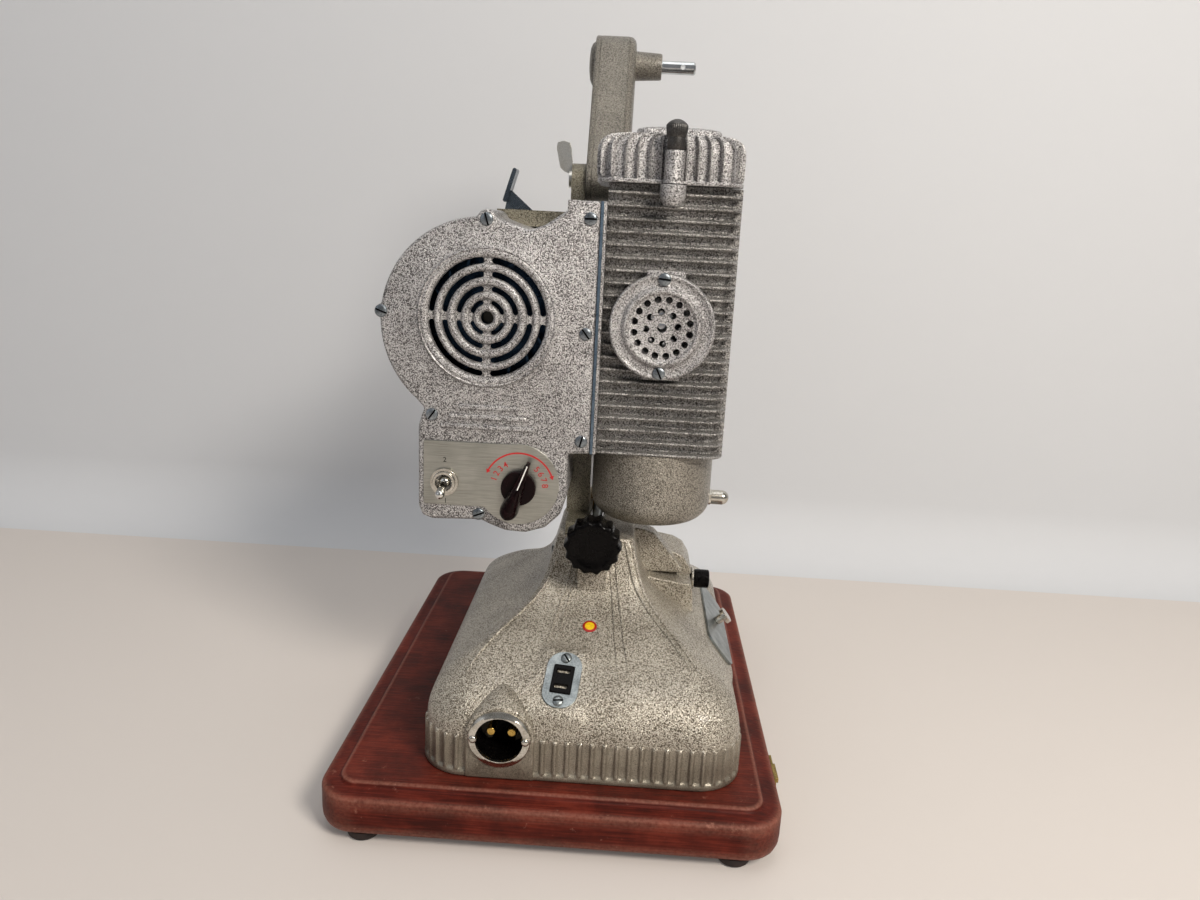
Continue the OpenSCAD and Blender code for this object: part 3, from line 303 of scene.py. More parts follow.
def ranged(tree, value, low, high, start=0.0, end=1.0):
    """A value between low and high brought to the range from start to end, and held inside it."""
    return add(tree, "MapRange", {"Value": value, "From Min": low, "From Max": high, "To Min": start, "To Max": end})


def dent(tree, shader, relief, strength, depth):
    """Bumps from a relief between 0 and 1, this many mm deep."""
    feed(tree, shader, "Normal", add(tree, "Bump", {"Height": relief, "Strength": strength, "Distance": depth * MM}))


def book_cloth():
    """Maroon book cloth: threads 0.9 mm apart run along the board, crossed by a faint pebble;
    darker and redder in blotches, rubbed pale along the edges and in a few scuffs."""
    made, tree, shader, place = material("maroon_book_cloth", Roughness=0.55, Specular_IOR_Level=0.15)
    drawn = add(tree, "Mapping", {"Vector": place, "Scale": (0.05, 1, 1)})
    thread, blotch = noise(tree, drawn, 0.9, 1.5), noise(tree, place, 30, 5, 0.62)
    speck, scuff = noise(tree, place, 1.6, 3), noise(tree, place, 9, 6, 0.75)
    tone = add(tree, "Math", {0: thread, 1: 0.55, 2: blotch}, operation="MULTIPLY_ADD")
    colour = ramp(tree, tone, (0.62, "#391009"), (0.78, "#51190f"), (0.95, "#682619"))
    worn = ranged(tree, add(tree, "NewGeometry", output="Pointiness"), 0.508, 0.55)
    rubbed = add(tree, "Math", {0: worn, 1: 0.9, 2: ranged(tree, scuff, 0.62, 0.74)}, operation="MULTIPLY_ADD",
                 use_clamp=True)
    broken = add(tree, "Math", {0: rubbed, 1: speck}, operation="MULTIPLY")
    feed(tree, shader, "Base Color", add(tree, "Mix", {0: broken, 6: colour, 7: "#b07a68"}, 2, data_type="RGBA"))
    dent(tree, shader, add(tree, "Math", {0: thread, 1: 0.8, 2: speck}, operation="MULTIPLY_ADD"), 0.5, 0.2)
    return made


def stepped(profile, track, centre, half_x, half_y, radius):
    """A profile of (distance in, height) carried round a rectangle with round corners; the
    corner radius shrinks with the distance."""
    inwards, height = np.array(profile).T
    return rims(centre, half_x - inwards, half_y - inwards, np.maximum(radius - inwards, 2), height, track)


board_track = walk(*BOARD_HALF, BOARD_CORNER, np.linspace(0, 1, 481)[:-1] * perimeter(BOARD_HALF, BOARD_CORNER))
board = skin("covered_board", stepped(BOARD_EDGE, board_track, (0, 0), *BOARD_HALF, BOARD_CORNER), book_cloth(),
             sharp=50)
fit(board, "base", "leatherette", "case_board")

# Feet and catch plate
# Four moulded rubber feet are screwed under the board. On its film side sits the pressed brass
# plate that the case's draw catch hooks into.


def lathe(name, profile, centre, axis, finish, count=64, ends=("flat", "flat"), sharp=35):
    """A turned piece: a profile of (radius, distance along the axis) in rows, carried round the
    axis "x", "y" or "z" through a centre: point = centre + radius * (cos, sin) + distance. A
    centre of two numbers is a place in X and Z."""
    centre = (centre[0], 0, centre[1]) if len(centre) == 2 else centre
    radius, distance = np.array(profile, float).T
    angle = circle(count)
    first, second = radius[:, None] * np.cos(angle), radius[:, None] * np.sin(angle)
    third = np.broadcast_to(distance[:, None], first.shape)
    order = {"x": (third, first, second), "y": (second, third, first), "z": (first, second, third)}[axis]
    return skin(name, np.stack(order, -1) + np.array(centre, float), finish, ends, sharp)


def join(name, parts):
    """One object from several with the same material."""
    meshes = [p.data for p in parts]
    with bpy.context.temp_override(active_object=parts[0], object=parts[0], selected_objects=parts,
                                   selected_editable_objects=parts):
        bpy.ops.object.join()
    parts[0].name = parts[0].data.name = name
    for mesh in meshes[1:]:
        bpy.data.meshes.remove(mesh)
    return parts[0]


def speckled(name, roughness, size, detail, *stops):
    """A matt finish whose colour changes in specks about this size in mm."""
    made, tree, shader, place = material(name, Roughness=roughness)
    feed(tree, shader, "Base Color", ramp(tree, noise(tree, place, size, detail), *stops))
    return made


# Moulded black rubber, faintly dusty
rubber_finish = speckled("moulded_black_rubber", 0.75, 4, 5, (0.35, "#1c1311"), (0.7, "#2e201c"))
FOOT_AT = (92, 139)
feet = [lathe("foot", [(5.6, 0), (7.2, 0.25), (8.1, 1.2), (8.5, 2.6), (8.5, 4.2), (8.3, 5.0)],
              (sx * FOOT_AT[0], sy * FOOT_AT[1], 0), "z", rubber_finish, 40)
        for sx in (-1, 1) for sy in (-1, 1)]
fit(join("feet", feet), "base", "black_rubber", "rubber_feet")


def metal(name, light, dark, roughness, scratch_mm=0.6, stain_mm=7.0, relief=0.02):
    """Bare or plated metal: fine scratches over wider stains; both also make it duller."""
    made, tree, shader, place = material(name, Metallic=1.0)
    scratches = noise(tree, place, scratch_mm, 3)
    both = add(tree, "Mix", {0: 0.5, 2: scratches, 3: noise(tree, place, stain_mm, 4)}, data_type="FLOAT")
    feed(tree, shader, "Base Color", ramp(tree, both, (0.35, dark), (0.62, light)))
    feed(tree, shader, "Roughness", ranged(tree, both, 0.3, 0.7, roughness + 0.12, roughness - 0.05))
    dent(tree, shader, scratches, 0.4, relief)
    return made


def eased(node, finish, width, name=None):
    """The CAD node's own shape with eased edges: a merged copy, its flat faces made whole again,
    and a bevel of this width in mm on every edge sharper than 30 degrees."""
    mesh = nodes[node].data.copy()
    build = bmesh.new()
    build.from_mesh(mesh)
    bmesh.ops.remove_doubles(build, verts=build.verts, dist=2e-6)
    bmesh.ops.dissolve_limit(build, angle_limit=math.radians(0.8), verts=build.verts, edges=build.edges)
    build.to_mesh(mesh)
    build.free()
    if "custom_normal" in mesh.attributes:
        mesh.attributes.remove(mesh.attributes["custom_normal"])
    obj = bpy.data.objects.new(name or node + "_eased", mesh)
    mesh.name = obj.name
    bpy.context.scene.collection.objects.link(obj)
    mesh.materials.clear()
    mesh.materials.append(finish)
    smooth(obj, 30)
    bevel = obj.modifiers.new("eased_edges", "BEVEL")
    bevel.width, bevel.segments, bevel.limit_method = width * MM, 2, "ANGLE"
    bevel.angle_limit, bevel.harden_normals = math.radians(30), True
    return obj


def fit_eased(node, finish, width, body, slot):
    """Fits a CAD node's own shape with eased edges in the place of the node."""
    fit(eased(node, finish, width), body, slot, node)


aged_brass = metal("pressed_brass_aged", "#b39a5c", "#6f6238", 0.34)
fit_eased("case_catch", aged_brass, 0.3, "base", "brass")

# Cast base
# An aluminium casting in hammered silver-brown enamel, sprayed and baked. A ribbed skirt stands
# on the board and sweeps up in a hollow curve to the narrow neck that carries the head.

BASE_CENTRE = (13.4, -22.5)
BASE_HALF, NECK_HALF = np.array([82.0, 107.5]), np.array([21.5, 28.0])
BASE_CORNER, RIDGE_CORNER = 24, 4.5
RIB_PITCH, RIB_HEIGHT = 6.18, 1.35
SWEEP = [  # share of the way from the neck to the skirt, height
    (1, 52.6), (0.999, 55.5), (0.992, 58.4), (0.978, 61.5), (0.95, 65.6), (0.9, 69.6), (0.84, 72.8), (0.76, 76.2),
    (0.66, 80), (0.54, 84.5), (0.42, 89), (0.31, 93), (0.22, 97.5), (0.14, 103), (0.085, 110), (0.05, 118),
    (0.02, 125), (0.005, 129.4), (0, 130.3), (-0.012, 131)]


def hammertone(name, dark, middle, light, spot_mm=0.6, relief=0.5, metallic=0.5, painted_shade_below=-1.0):
    """Hammered enamel: aluminium flakes float up between shallow wrinkles less than a millimetre
    wide, so bright and dark spots lie close together under one gloss; wide patches shift the
    tone a little. The spots are partly the flakes' own colour and partly painted glints: the palest
    stand in for flakes that catch the light. Below a height in mm the spots and wrinkles are evened out
    and the tone turns a little darker: painted shade for a face out of the light."""
    made, tree, shader, place = material(name, Metallic=metallic, Coat_Weight=0.2, Coat_Roughness=0.2)
    spots, patch = noise(tree, place, spot_mm, 1.5, 0.55, 0.7), noise(tree, place, 22, 3)
    height_here = add(tree, "SeparateXYZ", {0: place}, "Z")
    # Below the height the spots are evened out and the tone darkens a little: painted shade
    lively = ranged(tree, height_here, (painted_shade_below - 1.5) * MM, (painted_shade_below + 1.5) * MM, 0.25)
    wrinkles = add(tree, "Mix", {0: lively, 2: 0.45, 3: spots}, data_type="FLOAT")
    tone = add(tree, "Math", {0: patch, 1: 0.14, 2: wrinkles}, operation="MULTIPLY_ADD")
    # The light end of the ramp is partly painted glints of the flakes
    feed(tree, shader, "Base Color", ramp(tree, tone, (0.46, dark), (0.56, middle), (0.66, light)))
    feed(tree, shader, "Roughness", ranged(tree, spots, 0.35, 0.65, 0.46, 0.26))
    dent(tree, shader, wrinkles, 0.9, relief)
    return made


# Below the shoulder the skirt gets the evened, darker tone: painted shade
warm_enamel = hammertone("hammered_enamel_base", "#5b5347", "#958d7e", "#d6cfc1", spot_mm=0.65, painted_shade_below=50.5)


def smoothed(points, step, blur):
    """An open run of points, taken at equal steps and averaged over a distance: corners turn
    into curves while both ends stay where they are."""
    points = np.array(points, float)
    run = np.concatenate([[0], np.cumsum(np.linalg.norm(np.diff(points, axis=0), axis=1))])
    fine = np.linspace(0, run[-1], int(run[-1] / 0.25) + 1)
    line = np.stack([np.interp(fine, run, c) for c in points.T], -1)
    width = int(blur / 0.25)
    kernel = np.hanning(2 * width + 1)[1:-1] if width > 1 else np.ones(1)
    pad = len(kernel) // 2
    held = np.concatenate([2 * line[0] - line[pad:0:-1], line, 2 * line[-1] - line[-2:-pad - 2:-1]])
    line = np.stack([np.convolve(c, kernel / kernel.sum(), "valid") for c in held.T], -1)
    pick = np.linspace(0, len(line) - 1, int(run[-1] / step) + 1).round().astype(int)
    return line[pick]


ease = lambda value: value * value * (3 - 2 * value)
skirt_length = perimeter(BASE_HALF, BASE_CORNER)
rib_count = round(skirt_length / RIB_PITCH)
rib_points = np.array([-3.0, -1.7, -1.3, -1.0, -0.55, 0.0, 0.55, 1.0, 1.3, 1.7])
skirt_along = (np.arange(rib_count)[:, None] * skirt_length / rib_count + rib_points).ravel()
skirt_track = walk(*BASE_HALF, BASE_CORNER, skirt_along)
rib_round = np.sqrt(np.clip(1 - (np.tile(rib_points, rib_count) / 1.32) ** 2, 0, 1))
SKIRT_ROWS = [  # height, how far the skirt stands back from the ribs, rib height left there
    (29.0, 0.9, 0), (29.4, 0.25, 0), (30.0, 0, 0), (31.5, 0, 0), (32.1, 0.2, 0), (32.7, 0.7, 0.5), (33.2, 1.2, 1),
    (33.7, 1.35, 1), (38, 1.35, 1), (43, 1.35, 1), (47.5, 1.35, 1), (49.2, 1.35, 1), (50.0, 1.35, 0.92),
    (50.6, 1.35, 0.76), (51.0, 1.35, 0.5), (51.25, 1.35, 0)]
rise, back, left_over = np.array(SKIRT_ROWS).T
proud = -back[:, None] + RIB_HEIGHT * left_over[:, None] * rib_round
skirt = rims(BASE_CENTRE, np.full(len(rise), BASE_HALF[0]), BASE_HALF[1], BASE_CORNER, rise, skirt_track, proud)
share, height = smoothed([(way * BASE_HALF[0], z) for way, z in SWEEP], 1.9, 5).T
share = share / BASE_HALF[0]
half = NECK_HALF + (BASE_HALF - NECK_HALF) * share[:, None]
corner = RIDGE_CORNER + (BASE_CORNER - RIDGE_CORNER) * ease(np.clip((share - 0.45) / 0.55, 0, 1))
draw_in = -RIB_HEIGHT * ease(np.clip((share - 0.8) / 0.2, 0, 1))[:, None]
slope = rims(BASE_CENTRE, half[:, 0], half[:, 1], corner, height, skirt_track, draw_in)
shell = np.concatenate([skirt, slope])


PRESS_REACH = 30


def pressed_flat(points, origin, across, along, half_size, fade, level):
    """Points near a flat seat, within PRESS_REACH, are pressed onto it: their distance from the
    seat's plane goes to the level, fading out past the seat's edges."""
    normal = np.cross(across, along)
    rel = points - np.array(origin, float)
    u, v, w = rel @ across, rel @ along, rel @ normal
    out_u, out_v = np.abs(u) - half_size[0], np.abs(v) - half_size[1]
    weight = (1 - ease(np.clip(out_u / fade[0], 0, 1))) * (1 - ease(np.clip(out_v / fade[1], 0, 1)))
    weight = weight * (np.abs(w) < PRESS_REACH)
    return points + normal * (weight * (level - w))[..., None]


# The outlet's plate and the side plate lie on these flats, in the frames they have in the part
OUTLET_AT, OUTLET_SLOPE, OUTLET_TURN = (2.2, -111.6, 75.6), math.radians(34), math.radians(-5)
outlet_frame = np.array(Matrix.Rotation(OUTLET_SLOPE, 3, "X") @ Matrix.Rotation(OUTLET_TURN, 3, "Z"))
SIDE_AT, SIDE_TILT = (87.25, -13, 67.75), math.radians(51.52)
side_frame = np.array(Matrix.Rotation(SIDE_TILT, 3, "Y"))
shell = pressed_flat(shell, OUTLET_AT, outlet_frame[:, 0], outlet_frame[:, 1], (8, 15), (9, 9), -0.05)
shell = pressed_flat(shell, SIDE_AT, side_frame[:, 0], side_frame[:, 1], (12.6, 42), (4, 16), -0.1)
casting = skin("cast_base", shell, warm_enamel, sharp=55)


def cut(obj, tool, sharp):
    """Takes the tool's volume out of a piece, removes the tool and shades the piece again."""
    step = obj.modifiers.new("cut", "BOOLEAN")
    step.object, step.operation, step.solver = tool, "DIFFERENCE", "EXACT"
    shape = bpy.data.meshes.new_from_object(obj.evaluated_get(bpy.context.evaluated_depsgraph_get()))
    old = obj.data
    obj.modifiers.clear()
    obj.data = shape
    shape.name = old.name
    bpy.data.meshes.remove(old)
    bpy.data.objects.remove(tool)
    smooth(obj, sharp)
    return obj


def brick(name, x, y, z, finish):
    """A box from its limits along the three axes."""
    return skin(name, [[(a, d, b) for a, b in corners(x, z)] for d in y], finish)


INLET_AT = (-26.4, 52.0)
INLET_FACE = -131.0
for opening in (lathe("inlet_bore", [(13.1, -134), (13.1, -104)], INLET_AT, "y", warm_enamel),
                brick("neck_slot", (-4.4, 17.4), (-47.6, 8), (93, 140), warm_enamel),
                brick("nut_shelf", (4, 23.1), (2, 21), (127, 140), warm_enamel)):
    cut(casting, opening, 50)
fit(casting, "base", "enamel", "base_casting")

# Beads on the casting
# Raised lines of the casting: one along the rear left ridge, two along the rear right ridge, and
# thinner ones down the rear face on both sides of the tilt knob.


def rear_point(share_down, side):
    """A point of the rear slope: side is the share of the half width from the middle, and
    share_down the way from the neck to the skirt."""
    share_down, side = np.asarray(share_down, float), np.asarray(side, float)
    order = np.argsort(share)
    z = np.interp(share_down, share[order], height[order])
    size = NECK_HALF + (BASE_HALF - NECK_HALF) * share_down[..., None]
    radius = np.interp(share_down, share[order], corner[order])
    x = BASE_CENTRE[0] + side * size[..., 0]
    into_corner = np.clip(np.abs(side) * size[..., 0] - (size[..., 0] - radius), 0, radius)
    y = BASE_CENTRE[1] - size[..., 1] + radius - np.sqrt(radius ** 2 - into_corner ** 2)
    return np.stack([x, y, z], -1)


def cord_line(name, path, radius, finish, count=10, sharp=60):
    """A round line carried along a path: circle points = path + radius * (cos * side + sin *
    up), where side and up stand across the path."""
    path = np.asarray(path, float)
    ahead = np.gradient(path, axis=0)
    ahead /= np.linalg.norm(ahead, axis=1)[:, None]
    side = np.cross(ahead, (0.31, 0.17, 0.93))
    side /= np.linalg.norm(side, axis=1)[:, None]
    over = np.cross(side, ahead)
    angle = circle(count)
    radius = np.broadcast_to(radius, len(path))[:, None, None]
    ring = radius * (np.cos(angle)[:, None] * side[:, None] + np.sin(angle)[:, None] * over[:, None])
    return skin(name, path[:, None] + ring, finish, sharp=sharp)


BEADS = {  # name: the share down and the side of its points, radius, sunk by
    "ridge_bead_left": ([(0.05, -0.86), (0.1, -0.9), (0.2, -0.94), (0.35, -0.965), (0.5, -0.965), (0.66, -0.93),
                         (0.8, -0.87)], 1.0, 0.1),
    "ridge_bead_right_outer": ([(0.0, 0.93), (0.06, 0.95), (0.16, 0.965), (0.3, 0.975), (0.46, 0.975), (0.62, 0.945),
                                (0.76, 0.9)], 0.9, 0.1),
    "ridge_bead_right_inner": ([(0.0, 0.78), (0.06, 0.82), (0.16, 0.87), (0.3, 0.905), (0.46, 0.915), (0.6, 0.9),
                                (0.7, 0.875)], 0.9, 0.1),
    "rear_bead_left_outer": ([(0.02, -0.5), (0.08, -0.5), (0.2, -0.5), (0.42, -0.43), (0.7, -0.36)], 0.65, 0.05),
    "rear_bead_left_inner": ([(0.02, -0.38), (0.08, -0.38), (0.2, -0.385), (0.42, -0.33), (0.62, -0.29)], 0.65, 0.05),
    "rear_bead_right_inner": ([(0.02, 0.36), (0.08, 0.38), (0.18, 0.36), (0.42, 0.29), (0.8, 0.25)], 0.65, 0.05),
    "rear_bead_right_outer": ([(0.02, 0.5), (0.08, 0.5), (0.18, 0.47), (0.42, 0.385), (0.8, 0.335)], 0.65, 0.05),
}
for name, (marks, radius, sunk) in BEADS.items():
    at = smoothed([(a * 100, b * 100) for a, b in marks], 2.5, 8) / 100
    line = rear_point(at[:, 0], at[:, 1])
    fade = ease(np.clip(np.linspace(1, 0, len(line)) / 0.3, 0, 1))
    line[:, 1] += sunk + radius * 0.9 * (1 - fade)
    line[:, 2] -= 0.5 * radius * (1 - fade)
    bead = cord_line(name, line, radius, warm_enamel)
    fit(bead, "base", "enamel")

# Mains inlet
# A round socket for the mains cord in an arched panel of the casting: a nickelled face ring held
# by two rivets, a black moulded cup behind it, and two brass pins.

HOOD_HALF, PANEL_FOOT = 17.2, 29.4
around = circle(144)


def arch(width_share, rise_share, inset=0.0):
    """Outline of the arched panel about the inlet's centre, as a function of the angle: half an
    oval above, a box with straight sides below; pulled in by the inset."""
    cosine, sine = np.cos(around), np.sin(around)
    wide, tall = HOOD_HALF * width_share - inset, HOOD_HALF * rise_share - inset
    upper = wide * tall / np.hypot(tall * cosine, wide * sine)
    foot = INLET_AT[1] - PANEL_FOOT - inset
    lower = np.minimum(wide / np.maximum(np.abs(cosine), 1e-6), foot / np.maximum(np.abs(sine), 1e-6))
    reach = np.where(sine > 0, upper, lower)
    return INLET_AT[0] + reach * cosine, INLET_AT[1] + reach * sine


HOOD_BORE = 13.0
hood_rows = [about(INLET_AT, HOOD_BORE, around, INLET_FACE + depth) for depth in (12, 0)]
for depth, width_share, rise_share, inset in ((0, 1, 1, 1.1), (0.15, 1, 1, 0.5), (0.5, 1, 1, 0.12), (1.1, 1, 1, 0),
                                              (3, 0.995, 1.06, 0), (6, 0.96, 1.13, 0), (9, 0.90, 1.19, 0),
                                              (12, 0.80, 1.235, 0), (15, 0.67, 1.262, 0), (18, 0.5, 1.27, 0),
                                              (24, 0.3, 1.2, 0)):
    x, z = arch(width_share, rise_share, inset)
    hood_rows.append((x, INLET_FACE + depth, z))
hood = skin("inlet_hood", loops(hood_rows), warm_enamel, ("ring", "ring"), sharp=40)
fit(hood, "base", "enamel")

bright_nickel = metal("nickel_plate_bright", "#dcd8cf", "#a9a498", 0.18, stain_mm=5)
eye_shape = 12.6 + 2.5 * np.abs(np.cos(around)) ** 1.6
ring_rows = [(11.7, 14.0), (11.7, 0.9), (11.75, -1.6), (11.95, -1.95), (12.25, -2.0), (eye_shape, -1.75),
             (eye_shape + 0.35, -1.45), (15.35, -0.85), (15.5, 0.0), (13.2, 0.4), (12.9, 14.0)]
face_ring = skin("inlet_face_ring", loops(about(INLET_AT, radius, around, INLET_FACE + depth)
                                          for radius, depth in ring_rows), bright_nickel, ("ring", "ring"), sharp=30)
rivets = [lathe("rivet", [(0.05, -3.1), (1.0, -3.0), (1.7, -2.6), (2.05, -2.0), (2.1, -1.2)],
                (INLET_AT[0] + s * 13.0, INLET_FACE, INLET_AT[1]), "y", bright_nickel, 28) for s in (-1, 1)]
fit(join("inlet_ring_riveted", [face_ring] + rivets), "base", "bright_steel", "inlet_ring")


def phenolic(name, colour, sheen_colour, roughness=0.22):
    """Moulded phenolic: glossy, with a very fine flow grain and faint paler streaks in it."""
    made, tree, shader, place = material(name, Specular_IOR_Level=0.1)
    flow = noise(tree, place, 5, 6, distortion=1.5)
    feed(tree, shader, "Base Color", ramp(tree, flow, (0.4, colour), (0.75, sheen_colour)))
    feed(tree, shader, "Roughness", ranged(tree, flow, 0.35, 0.7, roughness, roughness + 0.16))
    dent(tree, shader, flow, 0.15, 0.05)
    return made


black_phenolic = phenolic("moulded_black_phenolic", "#040303", "#0b0909")
new_brass = metal("turned_brass", "#d9b566", "#9a7a3a", 0.22, scratch_mm=0.4)
fit_eased("inlet_cup", black_phenolic, 0.3, "base", "black_plastic")
fit_eased("inlet_pins", new_brass, 0.5, "base", "brass")

# Room lamp outlet and approval disc
# A stadium of zinc plate screwed to the rear slope holds a small black socket. The stamped
# lettering beside the socket is left out. The disc above is enamelled yellow, with a red rim.

zinc = metal("zinc_plate_satin", "#a5abab", "#767c7e", 0.33, scratch_mm=0.7)
# Near-black insert for the screws' slots: painted shade for the shadow in a slot
slot_shade = phenolic("slot_painted_shade", "#0b0b0c", "#161617", 0.5)


def slotted(name, at, head, shank, turn, finish, out=(0, -1, 0)):
    """A screw with a low domed head, seen along -Y before it is turned to its own direction:
    the head's slot is 1 mm wide and lies at an angle in degrees. A near-black insert in the slot's bottom is painted
    shade for the shadow in the slot."""
    body = lathe(name, [(head / 2, shank), (head / 2, 0), (head, 0), (head, -0.35), (head * 0.95, -0.75),
                        (head * 0.8, -1.05), (head * 0.5, -1.25), (head * 0.2, -1.32), (0.05, -1.34)], (0, 0, 0), "y",
                 finish, 40, ("flat", "point"))
    slot = brick("slot", (-head - 1, head + 1), (-4, -0.3), (-0.5, 0.5), finish)
    # Painted shade: a near-black insert in the slot's bottom
    shade_insert = brick(name + "_slot_shade_insert", (-head * 0.93, head * 0.93), (-0.45, -0.1), (-0.45, 0.45), slot_shade)
    spin = Matrix.Rotation(math.radians(turn), 4, "Y")
    slot.data.transform(spin)
    shade_insert.data.transform(spin)
    cut(body, slot, 40)
    facing = Vector((0, -1, 0)).rotation_difference(Vector(out)).to_matrix().to_4x4()
    stand = Matrix.Translation(Vector(at) * MM) @ facing
    for piece in (body, shade_insert):
        piece.data.transform(stand)
    return body, shade_insert


outlet_screws = [slotted("outlet_screw", outlet_frame @ np.array((0, 12 * side, 0.9)) + np.array(OUTLET_AT), 2.8, 5,
                         25 + 30 * side, zinc, outlet_frame[:, 2]) for side in (-1, 1)]
fit(join("outlet_screws_slotted", [s[0] for s in outlet_screws]), "base", "bright_steel", "outlet_screws")
# The slots' near-black inserts: painted shade
fit(join("outlet_screw_slots", [s[1] for s in outlet_screws]), "base", "bright_steel")
fit_eased("outlet_plate", zinc, 0.25, "base", "zinc_steel")
fit_eased("outlet_socket", black_phenolic, 0.35, "base", "black_plastic")
DISC_AT, DISC_SLOPE, DISC_RADIUS = (13.6, -79.6, 90.93), math.radians(24.4), 3.9


def baked_label():
    """Yellow enamel disc with a red rim 1.2 mm wide, glossy, with a little grime in spots."""
    made, tree, shader, place = material("enamelled_yellow_disc", Roughness=0.3)
    off_centre = add(tree, "VectorMath", {0: place, 1: tuple(np.array(DISC_AT) * MM)}, "Value", operation="DISTANCE")
    ring = ramp(tree, ranged(tree, off_centre, 0.0, DISC_RADIUS * MM), (0.0, "#f2c81c"), (0.66, "#f2c81c"),
                (0.7, "#b3200f"), (1.0, "#a51c0e"))
    grime = ranged(tree, noise(tree, place, 0.8, 4), 0.35, 0.6, 0.72)
    colour = add(tree, "Mix", {0: 1.0, 6: ring, 7: grime}, 2, data_type="RGBA", blend_type="MULTIPLY")
    feed(tree, shader, "Base Color", colour)
    return made


disc_out = Vector((0, -math.sin(DISC_SLOPE), math.cos(DISC_SLOPE)))
disc = lathe("approval_disc", [(DISC_RADIUS, -1.2), (DISC_RADIUS, 0.1), (3.75, 0.35), (3.4, 0.45), (1.5, 0.5)],
             (0, 0, 0), "z", baked_label(), 40)
disc.data.transform(Matrix.Translation(Vector(DISC_AT) * MM) @ Matrix.Rotation(DISC_SLOPE, 4, "X"))
fit(disc, "base", "yellow_label", "rating_disc")

# Switch housing and side plate
# On the film side the casting steps out into a wedge that houses the power switch, with a black
# knob. Below it a steel plate closes the wiring opening; one thumb screw holds it.


def prism(name, outline, y0, y1, finish):
    """An outline in X and Z drawn out along Y, with its edges rounded by 1 mm."""
    obj = skin(name, [[(a, d, b) for a, b in outline] for d in (y0, y1)], finish)
    step = obj.modifiers.new("round_edges", "BEVEL")
    step.width, step.segments, step.limit_method, step.harden_normals = 1.0 * MM, 3, "ANGLE", True
    return obj


housing = {
    "switch_housing_low": ([(24, 66), (72.4, 66), (72.1, 80), (71.4, 93), (69.9, 98.6), (24, 104.6)], -31, 20),
    "switch_housing_high": ([(24, 98), (71.3, 98), (70, 102), (66, 108.5), (60, 111.5), (24, 118)], -13, 19),
    "switch_gusset": ([(24, 102), (64.5, 102), (64.2, 105), (47, 125.6), (40, 128), (24, 129)], -22, -10)}
for name, (outline, y0, y1) in housing.items():
    fit(prism(name, outline, y0, y1, warm_enamel), "base", "enamel")
fit_eased("switch_bezel", bright_nickel, 0.3, "base", "satin_plate")
fit_eased("side_plate", zinc, 0.3, "base", "zinc_steel")
fit_eased("switch_knob", black_phenolic, 0.9, "power_switch", "black_plastic")
fit_eased("thumb_screw", bright_nickel, 0.45, "plate_screw", "bright_steel")

# Tilt drive and foot of the head
# A scalloped black knob turns a threaded shaft in the neck; a brass nut rides on it and tips the
# head. The head's foot stands between the neck's cheeks on a cross pin.

TILT_AT = (12.8, 134.0)
KNOB_BACK, KNOB_FRONT, KNOB_RADIUS, KNOB_LOBES = -63.0, -77.0, 15.5, 14


def dress(finish, *names):
    """Gives CAD nodes that keep their own shape a material in their slots."""
    for name in names:
        for place in nodes[name].material_slots:
            place.material = finish


lobe_angle = circle(24 * KNOB_LOBES)
scallop = 1.35 * np.abs(np.sin(lobe_angle * KNOB_LOBES / 2)) ** 1.4
knob_rows = []
for inset, depth, hollow in ((0.9, KNOB_BACK, 1), (0.2, KNOB_BACK - 0.7, 1), (0, KNOB_BACK - 1.6, 1),
                             (0, KNOB_FRONT + 2.6, 1), (0.35, KNOB_FRONT + 1.3, 1), (1.2, KNOB_FRONT + 0.4, 0.8),
                             (2.6, KNOB_FRONT, 0.45), (4.6, KNOB_FRONT + 0.05, 0.1), (5.6, KNOB_FRONT + 0.5, 0),
                             (9.5, KNOB_FRONT + 0.8, 0)):
    reach = KNOB_RADIUS - inset - scallop[::-1] * hollow
    knob_rows.append(about(TILT_AT, reach, lobe_angle, depth))
knob_boss = lathe("knob_boss", [(3.2, -47.7), (3.2, -61.5), (7.3, -61.5), (7.85, -61.1), (8, -60.2), (8, -47.7)],
                  TILT_AT, "y", warm_enamel, 56, ("ring", "ring"))
fit(knob_boss, "base", "enamel")
boss_foot = brick("knob_boss_foot", (TILT_AT[0] - 7.9, TILT_AT[0] + 7.9), (-61.2, -47.7), (100, 128), warm_enamel)
fit(boss_foot, "base", "enamel")
tilt_knob = skin("scalloped_knob", loops(knob_rows), black_phenolic, sharp=50)
fit(tilt_knob, "tilt_drive", "black_plastic", "tilt_knob")
dress(zinc, "tilt_shaft", "tilt_pin")
dress(new_brass, "tilt_nut")

# Mechanism case, motor and blower
# The cast case behind the cover holds the motor, its blower fan and the gears. Its enamel is a darker
# olive copy of the base's: painted shade for where it lies behind the cover. A steel plate closes it on the film
# side.

